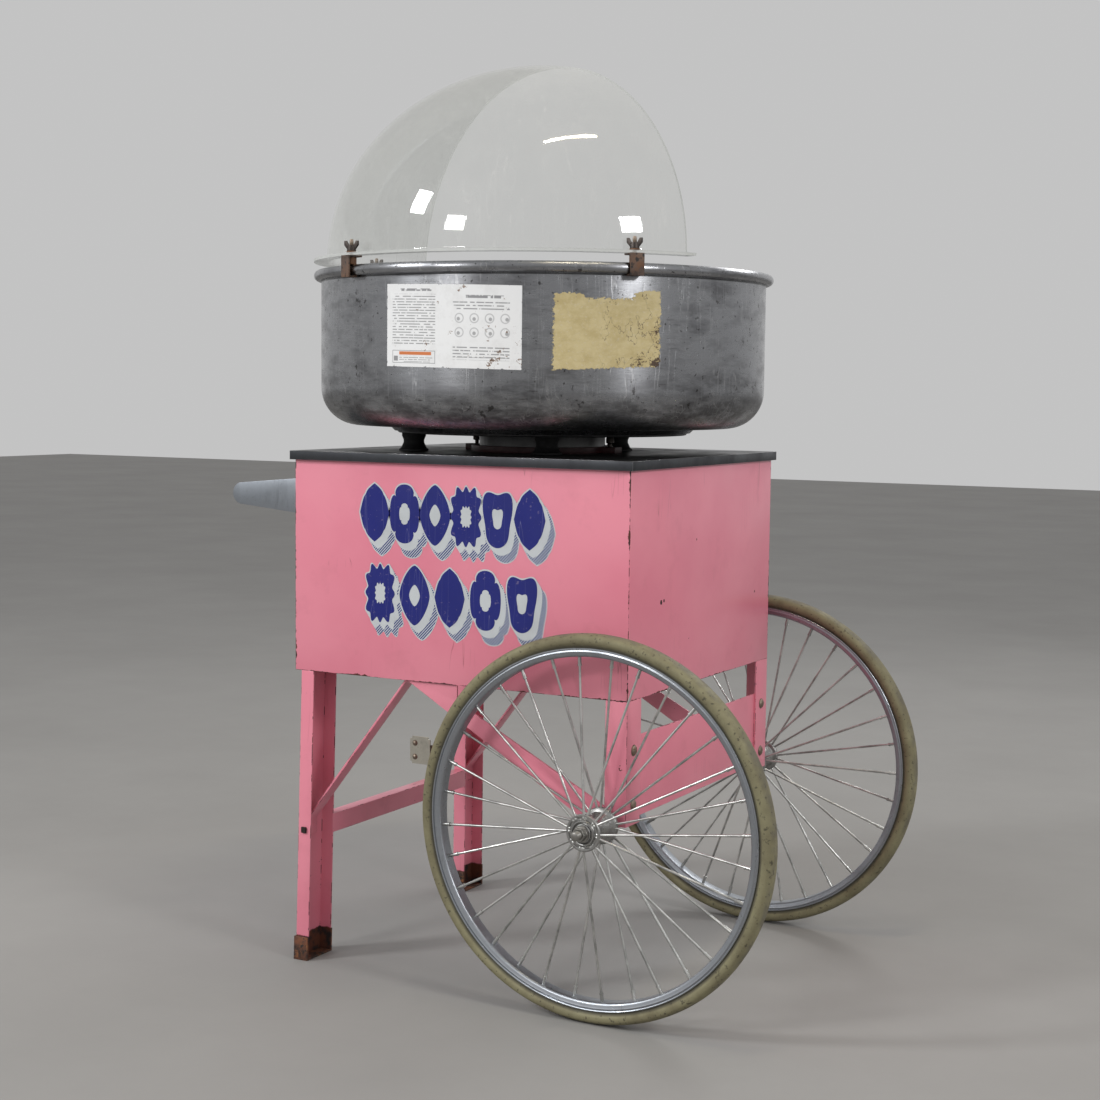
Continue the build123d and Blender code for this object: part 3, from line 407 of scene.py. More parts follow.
# paints
enamel = {
    "pink": (0.74, 0.215, 0.290), "faded": (0.79, 0.255, 0.33), "grime": (0.50, 0.15, 0.18),
    "scratch": (0.36, 0.10, 0.12), "rust": (0.10, 0.028, 0.012), "soot": (0.016, 0.010, 0.010),
    "blisters": [  # across, up and size of the rust blisters on the wheel end
        (-0.146, 0.560, 0.0030), (-0.137, 0.561, 0.0022), (0.19, 0.545, 0.0016), (-0.03, 0.64, 0.0012),
    ],
}


def pinkEnamel(name, edges, spots):
    # edges gives the distance in mm to a worn edge, spots the amount of loose chips
    paint = Paint(name, {"Metallic": 0.0, "Specular IOR Level": 0.45, "Coat Roughness": 0.2})
    x, y, z = paint.split(paint.place)
    grain = paint.noise(170, 4, 0.62)
    lines = paint.scratches(26, 0.0026, [(0.5, 0.8, 0.9), (1.2, 0.6, 0.7)])
    lines = lines * paint.noise(9, 2).rise(0.60, 0.64)
    chips = (paint.noise(95, 3, 0.6) + paint.noise(13, 2) * 0.35).rise(0.965 - spots, 0.975 - spots)
    if edges:
        near = edges(paint).rise(9, 0)
        chips = chips.most((grain * 0.55 + paint.noise(24, 2) * 0.75 + near * near * 0.40).rise(1.0, 1.03))
        end = x.rise(cabinetHigh.x - 0.004, cabinetHigh.x - 0.002)
        for across, up, size in enamel["blisters"]:
            gap = paint.radius(y - across, z - up) + grain * 0.004
            chips = chips.most(gap.rise(size + 0.0026, size + 0.0018) * end)
    chips = chips.most(paint.marked("rim") * paint.noise(42, 4, 0.7).rise(0.53, 0.56))
    chips = chips.most((z + paint.noise(70, 3) * 0.008).rise(0.041, 0.039))  # just above the boots
    rust = paint.mix(paint.noise(60, 4).rise(0.42, 0.6), enamel["rust"], enamel["soot"])
    grime = paint.noise(16, 5, 0.65).rise(0.56, 0.74) * 0.22
    paint.feed("Base Color", paint.layers(
        enamel["pink"], (paint.noise(5, 3).rise(0.38, 0.62), enamel["faded"]), (grime, enamel["grime"]),
        (lines * 0.5, enamel["scratch"]), (chips, rust),
    ))
    paint.feed("Roughness", 0.34 + paint.noise(8, 4).rise(0.35, 0.7) * 0.16 + chips * 0.34)
    paint.feed("Coat Weight", (1 - chips) * 0.35)
    paint.relief((1 - chips) + paint.noise(3.2, 1) * 3 - lines * 0.3, 0.0004, 0.7)
    return paint


def cabinetEdges(paint):
    x, y, z = paint.split(paint.place)
    middle, half = (cabinetLow + cabinetHigh) / 2, (cabinetHigh - cabinetLow) / 2
    upright = (half.x - abs(x - middle.x)).most(half.y - abs(y - middle.y))
    skirt = (z - cabinetLow.z).most(0)
    return upright.least(skirt) * 1000


metalLook = {  # tint and gloss
    "bowl": ((0.36, 0.365, 0.38), 0.25), "rim": ((0.36, 0.38, 0.41), 0.30),
    "spoke": ((0.62, 0.62, 0.60), 0.3), "axle": ((0.30, 0.29, 0.27), 0.3),
    "hub": ((0.38, 0.375, 0.365), 0.27), "handle": ((0.33, 0.355, 0.39), 0.34),
    "drum": ((0.13, 0.13, 0.13), 0.34), "head": ((0.60, 0.60, 0.60), 0.3),
    "zinc": ((0.40, 0.41, 0.42), 0.45), "ground": ((0.5, 0.5, 0.5), 0.3),
    "nickel": ((0.55, 0.52, 0.45), 0.30), "bolt": ((0.30, 0.24, 0.19), 0.45),
    "darkNut": ((0.07, 0.06, 0.055), 0.42), "lever": ((0.72, 0.72, 0.72), 0.12),
    "heater": ((0.26, 0.22, 0.19), 0.45), "brass": ((0.62, 0.42, 0.16), 0.3),
}


def wornMetal(name, grime=0.3, rust=0.0):
    tint, gloss = metalLook[name]
    paint = Paint(name + "Metal", {"Metallic": 1.0})
    smear = paint.noise(26, 5, 0.65)
    specks = paint.noise(230, 3, 0.6).rise(0.62, 0.68)
    dark = tuple(c * 0.38 for c in tint)
    colour = paint.layers(tint, (smear.rise(0.48, 0.72) * grime, dark), (specks * grime, dark))
    lines = paint.scratches(60, 0.006, [(0.4, 0.2, 0), (1.3, 0.5, 0.6)])
    rough = gloss + smear.rise(0.35, 0.7) * 0.18 - lines * 0.08
    if rust:
        corrosion = (paint.noise(48, 5, 0.7) + paint.noise(9, 2) * 0.5).rise(0.92 - rust, 1.0 - rust)
        colour = paint.mix(corrosion, colour, (0.13, 0.05, 0.024))
        paint.feed("Metallic", 1 - corrosion * 0.85)
        rough = rough + corrosion * 0.4
    paint.feed("Base Color", colour)
    paint.feed("Roughness", rough)
    paint.relief(lines * -0.4 + smear * 0.5, 0.00025, 0.35)
    return paint


def spunAluminium():  # brushed round the machine's axis, scuffed, darker where hands and floss have been, with painted shade towards the bottom corner
    tint, gloss = metalLook["bowl"]
    paint = Paint("bowlMetal", {"Metallic": 1.0, "Anisotropic": 0.75, "Anisotropic Rotation": 0.25})
    x, y, z = paint.split(paint.place)
    x = x - machineX
    turn = paint.math("ARCTAN2", y, x)
    reach = paint.radius(x, y)
    brush = paint.noise(1, 4, 0.7, paint.combine(turn * 5, reach * 900, z * 900))
    smear = paint.noise(1, 6, 0.70, paint.combine(turn * 5, reach * 4, z * 46))
    blots = paint.noise(24, 5, 0.7)
    # the lower part of the bowl: it carries the painted shade of the bottom corner and strengthens the
    # streaks
    low = z.rise(bowlLow.z + 0.105, bowlLow.z + 0.02)
    streak = paint.noise(1, 4, 0.6, paint.combine(turn * 11, reach * 4, z * 330)).rise(0.635, 0.67)
    streak = streak * paint.noise(7, 3).rise(0.48, 0.58) * (low * 0.8 + 0.35)
    specks = paint.noise(130, 4, 0.62).rise(0.645, 0.675)
    rubbed = (paint.noise(60, 5, 0.7) + blots * 0.8).rise(1.09, 1.14)
    lines = paint.scratches(30, 0.0032, [(0.5, 0.2, 0.1), (1.3, 0.5, 0.6), (0.2, 1.4, 0.3)])
    lines = lines * blots.rise(0.4, 0.55)
    underBeadShade = z.line(bowlHigh.z - 0.0165, 0.0016)  # painted shade under the rolled bead
    paint.feed("Base Color", paint.layers(
        tint,
        (paint.noise(3.2, 3).rise(0.40, 0.60) * 0.30, (0.25, 0.255, 0.275)),
        (smear.rise(0.47, 0.66) * 0.55, (0.13, 0.13, 0.14)),
        (blots.rise(0.55, 0.7) * 0.4, (0.12, 0.12, 0.13)),
        # painted shade towards the bottom corner, broken up by smudges
        (low * smear.rise(0.36, 0.60) * 0.8, (0.05, 0.048, 0.048)),
        (specks.most(rubbed).most(streak) * 0.75, (0.035, 0.032, 0.03)),
        (lines * 0.4, (0.55, 0.55, 0.56)),
        # painted shade under the rolled bead
        (underBeadShade * 0.8, (0.03, 0.03, 0.03)),
    ))
    paint.feed("Roughness", gloss + smear.rise(0.4, 0.7) * 0.14 + (brush - 0.5) * 0.12 + specks * 0.2)
    paint.relief(brush * 0.5 + paint.noise(14, 2) * 1.2 - lines * 0.5, 0.00022, 0.5)
    return paint


def blackenedSteel():  # the counter: dark top, edge and skirt rubbed bright
    paint = Paint("counterMetal", {"Metallic": 1.0})
    top = paint.split(paint.place)[2].rise(cabinetHigh.z + 0.0008, cabinetHigh.z + 0.0016)
    smear = paint.noise(12, 6, 0.7)
    skirt = paint.mix(smear.rise(0.38, 0.62) * 0.7, (0.10, 0.105, 0.115), (0.045, 0.045, 0.05))
    deck = paint.mix(smear.rise(0.42, 0.65), (0.10, 0.10, 0.105), (0.035, 0.034, 0.034))
    rim = paint.marked("rim")
    rubbed = rim * paint.noise(16, 3).rise(0.36, 0.5)
    paint.feed("Base Color", paint.layers(skirt, (top, deck), (rubbed, (0.62, 0.62, 0.63))))
    paint.feed("Roughness", 0.30 + smear.rise(0.35, 0.7) * 0.22 - rim * 0.1)
    paint.relief(smear + paint.noise(160, 2) * 0.2, 0.0003, 0.4)
    return paint


def clearAcrylic():
    paint = Paint("domeClear", {"Base Color": (0.80, 0.80, 0.78), "Roughness": 0.5})
    waves = {"Height": paint.noise(5, 2), "Distance": 0.002, "Strength": 0.25}
    gloss = {"Color": (1, 1, 1), "Roughness": 0.035, "Normal": paint.first("ShaderNodeBump", {}, waves)}
    glossy = paint.first("ShaderNodeBsdfGlossy", {}, gloss)
    through = paint.first("ShaderNodeBsdfTransparent", {}, {"Color": (0.955, 0.958, 0.95)})
    facing = paint.out(paint.node("ShaderNodeLayerWeight", {}, {"Blend": 0.5}), "Facing")
    clear = paint.over((facing ** 4) * 0.42 + 0.035, through, glossy)
    haze = paint.noise(11, 5, 0.7).rise(0.45, 0.8) * 0.04 + (facing ** 3) * 0.10 + 0.02
    lines = paint.scratches(26, 0.003, [(0.5, 0.2, 0.1), (1.3, 0.5, 0.6)]) * 0.10
    paint.tree.links.new(paint.over(haze + lines, clear, paint.body).socket, paint.end.inputs[0])
    return paint


def acrylicEdge():  # sawn and polished edges look milky
    paint = Paint("domeEdge", {"Base Color": (0.62, 0.63, 0.61), "Roughness": 0.25})
    through = paint.first("ShaderNodeBsdfTransparent", {}, {"Color": (0.92, 0.93, 0.92)})
    milk = paint.noise(60, 3).rise(0.2, 0.8) * 0.25 + 0.42
    paint.tree.links.new(paint.over(milk, through, paint.body).socket, paint.end.inputs[0])
    return paint


def oliveRubber():  # dust on the tread, darker where the tyre meets the rim
    paint = Paint("tyreRubber", {"Specular IOR Level": 0.35})
    x, _, z = paint.split(paint.place)
    reach = paint.radius(x - axleX, z - axleZ)
    blot = paint.noise(22, 5, 0.65)
    tread = reach.rise(0.2612, 0.2645) * paint.noise(40, 4).rise(0.40, 0.6)
    paint.feed("Base Color", paint.layers(
        (0.235, 0.215, 0.125),
        (blot.rise(0.38, 0.65), (0.165, 0.145, 0.085)),
        (paint.noise(190, 3).rise(0.60, 0.68) * 0.8, (0.06, 0.052, 0.035)),
        (tread * 0.6, (0.11, 0.10, 0.085)),
        # darker band where the tyre meets the rim
        (reach.rise(0.2515, 0.2485) * 0.75, (0.035, 0.032, 0.026)),
    ))
    paint.feed("Roughness", 0.55 + blot.rise(0.3, 0.7) * 0.25)
    paint.relief(blot + paint.noise(260, 2) * 0.4, 0.0005, 0.5)
    return paint


def plainFinish(name, tint, gloss, speckle=0.3):
    paint = Paint(name, {})
    smear = paint.noise(34, 5, 0.65)
    dark, light = tuple(c * 0.5 for c in tint), tuple(min(1, c * 1.8 + 0.03) for c in tint)
    grit = paint.noise(240, 3).rise(0.60, 0.66) * speckle
    paint.feed("Base Color", paint.layers(tint, (smear.rise(0.42, 0.66) * 0.7, dark), (grit, light)))
    paint.feed("Roughness", gloss + smear.rise(0.35, 0.7) * 0.2)
    paint.relief(smear + paint.noise(300, 2) * 0.25, 0.0004, 0.45)
    return paint


def drawnWire():
    tint, gloss = metalLook["spoke"]
    paint = Paint("spokeWire", {"Metallic": 1.0})
    dull = paint.noise(30, 3, 0.6).rise(0.42, 0.62)
    paint.feed("Base Color", paint.mix(dull, tint, tuple(c * 0.55 for c in tint)))
    paint.feed("Roughness", gloss + dull * 0.14)
    return paint


def rustySheet(name, orange, dark, amount):
    paint = Paint(name, {})
    flake = paint.noise(70, 6, 0.72)
    patch = paint.noise(26, 4, 0.6)
    paint.feed("Base Color", paint.layers(
        orange,
        (patch.rise(0.40, 0.56), dark),
        (flake.rise(0.56, 0.62) * amount, (0.25, 0.10, 0.035)),
        (paint.noise(150, 3).rise(0.58, 0.63), (0.02, 0.016, 0.014)),
    ))
    paint.feed("Roughness", 0.5 + flake.rise(0.3, 0.7) * 0.35)
    paint.feed("Metallic", patch.rise(0.5, 0.6) * 0.4)
    paint.relief(flake + patch, 0.0009, 0.8)
    return paint


cabinetPink = pinkEnamel("cabinetPink", cabinetEdges, 0.0)
framePink = pinkEnamel("framePink", None, 0.035)
bowlMetal = spunAluminium()
counterMetal = blackenedSteel()
domeClear, domeEdge = clearAcrylic(), acrylicEdge()
tyreRubber = oliveRubber()
wear = {"bolt": (0.6, 0.10), "nickel": (0.5, 0.0), "hub": (0.85, 0.0)}  # grime and rust where they stand out
metals = {name: wornMetal(name, *wear.get(name, ())) for name in metalLook if name not in ("bowl", "spoke")}
metals["spoke"] = drawnWire()
blackRubber = plainFinish("blackRubber", (0.014, 0.014, 0.015), 0.55)
blackPlate = plainFinish("blackPlate", (0.018, 0.018, 0.02), 0.35, 0.5)
maroonPaint = plainFinish("maroonPaint", (0.055, 0.008, 0.010), 0.38)
darkEnamel = plainFinish("darkEnamel", (0.03, 0.034, 0.04), 0.4)
phenolic = plainFinish("phenolic", (0.016, 0.013, 0.012), 0.3)
padBrown = plainFinish("padBrown", (0.16, 0.075, 0.036), 0.6)
strapBrown = rustySheet("strapBrown", (0.16, 0.085, 0.05), (0.08, 0.045, 0.03), 0.4)
bootRust = rustySheet("bootRust", (0.17, 0.055, 0.022), (0.030, 0.018, 0.014), 0.9)
clipRust = rustySheet("clipRust", (0.13, 0.075, 0.05), (0.06, 0.04, 0.032), 0.3)
print("paints ready")


# sheet-metal pieces that keep the shape of their node
sheetPieces = [  # paint, slot, and the width in mm of each node's softened edges
    (cabinetPink, "pink_paint", {"cabinet_shell": 0.9, "door_panel": 0.6}),
    (framePink, "pink_paint", {
        "door_hinges": 0.3, "front_leg_left": 0.6, "front_leg_right": 0.6, "front_cross_bar": 0.5,
        "front_struts": 0.5, "rear_leg_left": 0.6, "rear_leg_right": 0.6, "rear_braces": 0.5,
        "rear_panel": 0.4,
    }),
    (counterMetal, "dark_steel", {"counter_top": 1.4}),
    (bootRust, "rusty_boot", {"front_boots": 0.7}),
    (metals["handle"], "handle_aluminium", {
        "handle_arm_left": 0.6, "handle_arm_right": 0.6, "handle_bar": 0.3,
    }),
    (strapBrown, "catch_strap_steel", {"catch_strap": 0.4}),
    (metals["zinc"], "zinc_sheet", {"control_panel": 0.4, "control_bodies": 0.3, "cabinet_floor": 0.3}),
    (metals["bolt"], "bolt_steel", {"door_latch": 0.3}),
    (metals["axle"], "hub_steel", {"axle_nuts": 0.6}),
    (blackPlate, "plate_steel", {"mounting_plate": 0.3}),
    (metals["drum"], "drum_steel", {"motor_drum": 0.4}),
    (maroonPaint, "maroon_paint", {"motor_collar": 0.6}),
    (clipRust, "clip_rust", {"clip_brackets": 0.5}),
    (padBrown, "clip_pad", {"clip_pads": 0.5}),
    (phenolic, "black_phenolic", {"brush_housing": 0.4}),
    (metals["head"], "head_aluminium", {"spinner_base": 0.4, "spinner_cap": 0.4}),
    (metals["darkNut"], "dark_nut", {"wing_nut_front": 0.5, "wing_nut_middle": 0.5, "wing_nut_rear": 0.5}),
    (metals["lever"], "lever_chrome", {"main_switch_lever": 0.0, "heat_switch_lever": 0.0}),
]
for paint, slot, widths in sheetPieces:
    for node, width in widths.items():
        fromCad(node, paint, slot, width)

inside = {  # nodes shown as they are
    "cord_grommet": blackRubber, "motor_body": darkEnamel, "motor_bearings": metals["ground"],
    "motor_rotor": metals["ground"], "slip_rings": metals["brass"],
}
for node, paint in inside.items():
    frame["nodes"][node].data.materials.clear()
    frame["nodes"][node].data.materials.append(paint.material)
print("sheet metal done")


# wheels
wheel = {
    "tread": 265, "seat": 246.8, "width": 30, "rimOuter": 246.5, "rimInner": 234, "rimWidth": 26,
    "wall": 1.6, "steps": 192, "phase": {"left": 0.0, "right": -6.2},
}


def tyreProfile():
    middle = (wheel["tread"] + wheel["seat"]) / 2
    half = (wheel["tread"] - wheel["seat"]) / 2
    crown = []
    for step in range(31):
        turn = math.radians(-118 + 236 * step / 30)
        reach = math.copysign(abs(math.cos(turn)) ** 0.82, math.cos(turn))
        crown.append((middle + half * reach, wheel["width"] / 2 * math.sin(turn)))
    foot = wheel["rimWidth"] / 2 - wheel["wall"] - 0.3
    seat, bed = wheel["seat"] + 0.4, wheel["rimInner"] + 3
    return crown + [(seat, foot), (bed, foot - 1), (bed, 1 - foot), (seat, -foot)]


def rimProfile():
    half, wall = wheel["rimWidth"] / 2, wheel["wall"]
    low, high = wheel["rimInner"], wheel["rimOuter"]
    lip = arcPoints((high - 1.4, half - 1.4), 1.4, -90, 180, 8)
    outside = arcPoints((low + 4.5, half - 6.2), 4.5, 180, 90, 6)
    upper = [(low, 0), *outside, (low + 7.5, half - 0.6), *reversed(lip)]
    upper += [(high - 3.2, half - wall - 1.2), (low + 6.5, half - wall - 0.8)]
    upper += [(low + wall + 0.8, half - 7.5), (low + wall, 0)]
    return upper + [(r, -y) for r, y in reversed(upper[1:-1])]


def hubProfile():
    face = [
        (6.1, 30), (11.5, 30), (12.6, 29), (12.8, 26.6), (14, 26), (14.6, 28.6), (15.6, 29.2), (17, 29),
        (17.8, 27.4), (18.6, 25.8), (20.8, 25.6), (21.6, 26.8), (23, 27.2), (24.6, 27),
    ]
    ridges = [
        (25.5, 26), (25.5, 23), (24.2, 21), (20, 20), (17.5, 14), (15, 8), (14.4, 0), (15, -8), (17.5, -14),
        (20, -20),
    ]
    back = [(24.2, -22), (25.5, -24), (25.5, -28), (23.5, -30), (6.1, -30)]
    return face + ridges + back


spokeTree = Tree("wireSpokes", {
    "Count": 32, "Hub Reach": 0.021, "Rim Reach": 0.2345, "Flange": 0.0245, "Rim Spread": 0.003, "Lean": 5.5,
    "Spread": 11.25, "Wire": 0.00172, "Nipple": 0.0024, "Nipple Length": 0.013, "Side": 1.0, "Phase": 0.0,
})


def growSpokes(tree):
    points = tree.first("GeometryNodeMeshLine", {}, {"Count": tree.size("Count")})
    index = tree.first("GeometryNodeInputIndex")
    lean = tree.wave("FLOOR", index / 2) % 2 * 2 - 1  # the two wires of a pair lean apart
    face = index % 2 * -2 + 1  # outer flange first
    pitch = math.tau / tree.size("Count")
    step = tree.wave("FLOOR", index / 4) * 4 * pitch + (1 - face) * 0.5 * pitch
    step = step + tree.size("Phase") * oneDegree

    def spot(reach, lag, along):
        turn = step + lean * tree.size(lag) * oneDegree
        far, out = tree.size(reach), tree.size(along) * face * tree.size("Side")
        return tree.combine(far * tree.wave("COSINE", turn), out, far * tree.wave("SINE", turn))

    foot = spot("Hub Reach", "Lean", "Flange")
    run = tree.vector("SUBTRACT", spot("Rim Reach", "Spread", "Rim Spread"), foot)
    length = tree.out(tree.node("ShaderNodeVectorMath", {"operation": "LENGTH"}, {0: run}), "Value")
    turn = tree.along(run)

    def rod(radius, depth, sides):
        values = {"Vertices": sides, "Radius": radius, "Depth": depth}
        made = tree.first("GeometryNodeMeshCylinder", {"fill_type": "NGON"}, values)
        half = tree.combine(0.0, 0.0, depth * 0.5)
        return tree.first("GeometryNodeSetPosition", {}, {"Geometry": made, "Offset": half})

    stretch = {"Rotation": turn, "Scale": tree.combine(1.0, 1.0, length)}
    wires = tree.placed(tree.at(points, foot), rod(tree.size("Wire"), 1.0, 8), stretch)
    share = 1 - tree.size("Nipple Length") / length
    nippleFoot = tree.vector("ADD", foot, tree.vector("MULTIPLY", run, tree.combine(share, share, share)))
    seats, nipple = tree.at(points, nippleFoot), tree.size("Nipple")
    nipples = tree.placed(seats, rod(nipple, tree.size("Nipple Length"), 10), {"Rotation": turn})
    collar = tree.placed(seats, rod(nipple * 1.25, 0.002, 10), {"Rotation": turn})
    values = {"Segments": 10, "Rings": 6, "Radius": tree.size("Wire") * 1.7}
    heads = tree.placed(tree.at(points, foot), tree.first("GeometryNodeMeshUVSphere", {}, values), {})
    tree.close(tree.together([wires, nipples, collar, heads]), metals["spoke"])


growSpokes(spokeTree)
for name, side in sides.items():
    centre = (axleX, wheelY[name], axleZ)
    rings = [
        ("tyre_", tyreProfile(), tyreRubber, wheel["steps"], "tyre_rubber"),
        ("rim_", rimProfile(), metals["rim"], wheel["steps"], "rim_steel"),
        ("hub_", [(r, y * side) for r, y in hubProfile()], metals["hub"], 96, "hub_steel"),
    ]
    for part, profile, paint, steps, slot in rings:
        lookOf(part + name, turned(part + name + ".look", profile, centre, "Y", paint, steps), slot)
    node = "spokes_" + name
    wires = spokeTree.grow(node + ".look", {"Side": float(side), "Phase": wheel["phase"][name]})
    wires.transform(Matrix.Translation(centre))
    lookOf(node, smoothed(wires, 50), "spoke_wire")
print("wheels done")


# axle with threaded ends
thread = {"radius": 6, "root": 5.3, "pitch": 1.5, "length": 21}


def threadEnd(tip):  # from the tip spokes
    count = int(thread["length"] / thread["pitch"])
    points = [(0, tip), (thread["root"] - 0.6, tip)]
    for turn in range(count):
        points.append((thread["root"], tip - 0.4 - turn * thread["pitch"]))
        points.append((thread["radius"], tip - 0.4 - (turn + 0.5) * thread["pitch"]))
    return points + [(thread["radius"], tip - 0.4 - count * thread["pitch"])]


axleHalf = (axleHigh.y - axleLow.y) / 2 / mm
farEnd = threadEnd(axleHalf)
axleShape = farEnd + [(r, -y) for r, y in reversed(farEnd)]
axleMesh = turned("axle.look", axleShape, (axleX, 0, axleZ), "Y", metals["axle"], 40, angle=60)
lookOf("axle", axleMesh, "hub_steel")


# bowl, dome and counter hardware
pan = {
    "radius": 332, "corner": 55, "sheet": 2.5, "hole": 82, "bead": 7.5, "beadRing": 335.5, "height": 227,
    "seat": 223, "rise": 8, "steps": 224,
}


def bowlProfile():
    radius, corner, sheet, height = pan["radius"], pan["corner"], pan["sheet"], pan["height"]
    seat, rise = pan["seat"], pan["rise"]
    bend = (radius - corner, corner + rise)
    outer = [(seat, 0), (seat + rise, rise)] + arcPoints(bend, corner, -90, 0, 14)
    inner = arcPoints(bend, corner - sheet, 0, -90, 14)
    inner += [(seat + rise - sheet / 2, rise + sheet), (seat - sheet / 2, sheet)]
    bead = arcPoints((pan["beadRing"], height), pan["bead"], -118, 150, 22)
    wall = [(pan["hole"], 0)] + outer + [(radius, height - 7.6)] + bead + [(radius - sheet, height + 1)]
    return wall + inner + [(pan["hole"], sheet)]


bowlCentre = (machineX, 0, bowlLow.z)
bowlMesh = turned("bowl.look", bowlProfile(), bowlCentre, "Z", bowlMetal, pan["steps"])
lookOf("bowl", bowlMesh, "bowl_aluminium")

hood = {
    "radius": 324, "height": 292, "sheet": 3, "flange": 343, "flangeSheet": 4, "start": 156, "steps": 112,
    "rows": 40,
}


def domeProfile():
    inside = hood["radius"] - hood["sheet"], hood["height"] - hood["sheet"]
    outer, inner = [], []
    for row in range(hood["rows"] + 1):
        turn = math.radians(90 * row / hood["rows"])
        outer.append((hood["radius"] * math.cos(turn), hood["height"] * math.sin(turn)))
        inner.append((inside[0] * math.cos(turn), inside[1] * math.sin(turn)))
    rise = hood["flangeSheet"]
    wall = [(r, z) for r, z in outer if z > rise + 3]
    sweep = arcPoints((hood["radius"] + 2.6, rise + 2.6), 2.6, 180, 270, 5)
    flange = [(inside[0], 0), (hood["flange"], 0), (hood["flange"], rise), *reversed(sweep)]
    return flange + wall + inner[:0:-1]


domeCentre, half = (machineX, 0, domeLow.z), (180, hood["start"])
domeMesh = turned("dome.look", domeProfile(), domeCentre, "Z", domeClear, hood["steps"], *half, 40)
domeMesh.materials.append(domeEdge.material)
cutTurn = math.radians(hood["start"] + 90)
cutLine = Vector((math.cos(cutTurn), math.sin(cutTurn), 0))
for face in domeMesh.polygons:
    arm = Vector((face.center.x - machineX, face.center.y, 0))
    cut = face.normal.dot(cutLine) < -0.99 and abs(arm.dot(cutLine)) < 0.001
    if cut or arm.length > hood["flange"] * mm - 0.0015:
        face.material_index = 1
lookOf("dome", domeMesh, "clear_acrylic")
print("bowl and dome done")


# round-headed screws and bolts, one tree for all
boltTree = Tree("roundHeads", {"Radius": 0.0075, "Height": 0.004}, geometryIn=True)


def growHeads(tree):
    points = tree.out(tree.source, "Geometry")
    arrow = tree.node("GeometryNodeInputNamedAttribute", {"data_type": "FLOAT_VECTOR"}, {"Name": "facing"})
    radius, height = tree.size("Radius"), tree.size("Height")
    dome = tree.first("GeometryNodeMeshUVSphere", {}, {"Segments": 24, "Rings": 12, "Radius": 1.0})
    washer = tree.first("GeometryNodeMeshCylinder", {}, {"Vertices": 28, "Radius": 1.0, "Depth": 0.12})
    turn = tree.along(tree.out(arrow, "Attribute"))
    heads = tree.placed(points, dome, {"Rotation": turn, "Scale": tree.combine(radius, radius, height)})
    wide = radius * 1.12
    seats = tree.placed(points, washer, {"Rotation": turn, "Scale": tree.combine(wide, wide, height)})
    tree.close(tree.together([heads, seats]), metals["bolt"])


def headsAt(name, spots, facing, radius, height):
    seed = meshOf(name + ".seed", spots, [])
    for arrow in seed.attributes.new("facing", "FLOAT_VECTOR", "POINT").data:
        arrow.vector = facing
    return boltTree.grow(name, {"Radius": radius, "Height": height}, seed)


growHeads(boltTree)
screw = {"rear": (0.0072, 0.0038), "panel": (0.0034, 0.0019), "catch": (0.0046, 0.0034), "inset": 0.005}
panelLow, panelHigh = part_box("control_panel")
rearLow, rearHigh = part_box("rear_panel")
legY = cabinetHigh.y - 0.0215
rearSpots = [(cabinetHigh.x, y, z) for y in (legY, -legY) for z in (rearLow.z + 0.020, rearHigh.z - 0.018)]
panelSpots = [
    (x, panelHigh.y, z)
    for x in (panelLow.x + screw["inset"], panelHigh.x - screw["inset"])
    for z in (panelLow.z + screw["inset"], panelHigh.z - screw["inset"])
]
bolts = [headsAt("rearBolts", rearSpots, (1, 0, 0), *screw["rear"])]
bolts.append(headsAt("panelScrews", panelSpots, (0, 1, 0), *screw["panel"]))
corners = [v.co for v in frame["nodes"]["frame_bolts"].data.vertices if v.co.x < cabinetLow.x + 0.05]
for side in (1, -1):  # square nuts where the struts meet the front legs
    near = [corner for corner in corners if corner.y * side > 0]
    middle = sum(near, Vector()) / len(near)
    bolts.append(softBox("square", middle, (0.009, 0.003, 0.009), 0.0007, 2, metals["darkNut"]))
lookOf("frame_bolts", smoothed(joined("frame_bolts.look", bolts)), "bolt_steel")

catchLow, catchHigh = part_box("catch_plate")
catch = {"sheet": 0.0025, "corner": 0.004, "pitch": 0.024}
catchMiddle, catchWide = (catchLow + catchHigh) / 2, catchHigh.x - catchLow.x


def catchPlate():
    work = bmesh.new()
    size = (catchWide, catch["sheet"], catchHigh.z - catchLow.z)
    place = Vector((catchMiddle.x, catchHigh.y - catch["sheet"] / 2, catchMiddle.z))
    bmesh.ops.create_cube(work, size=1, matrix=Matrix.Translation(place) @ Matrix.Diagonal((*size, 1)))
    upright = [e for e in work.edges if abs((e.verts[0].co - e.verts[1].co).y) > 0.001]
    bmesh.ops.bevel(work, geom=upright, offset=catch["corner"], segments=5, affect="EDGES")
    sharp = [e for e in work.edges if e.calc_face_angle(0) > 1.2]
    bmesh.ops.bevel(work, geom=sharp, offset=0.0005, segments=2, affect="EDGES")
    return smoothed(meshFrom(work, "catchPlate", metals["nickel"]))


catchSpots = [
    (catchMiddle.x - catchWide / 4, catchHigh.y - catch["sheet"], catchMiddle.z + end * catch["pitch"] / 2)
    for end in (-1, 1)
]
catchScrews = headsAt("catchScrews", catchSpots, (0, -1, 0), *screw["catch"])
lookOf("catch_plate", smoothed(joined("catch_plate.look", [catchPlate(), catchScrews])), "nickel_plate")

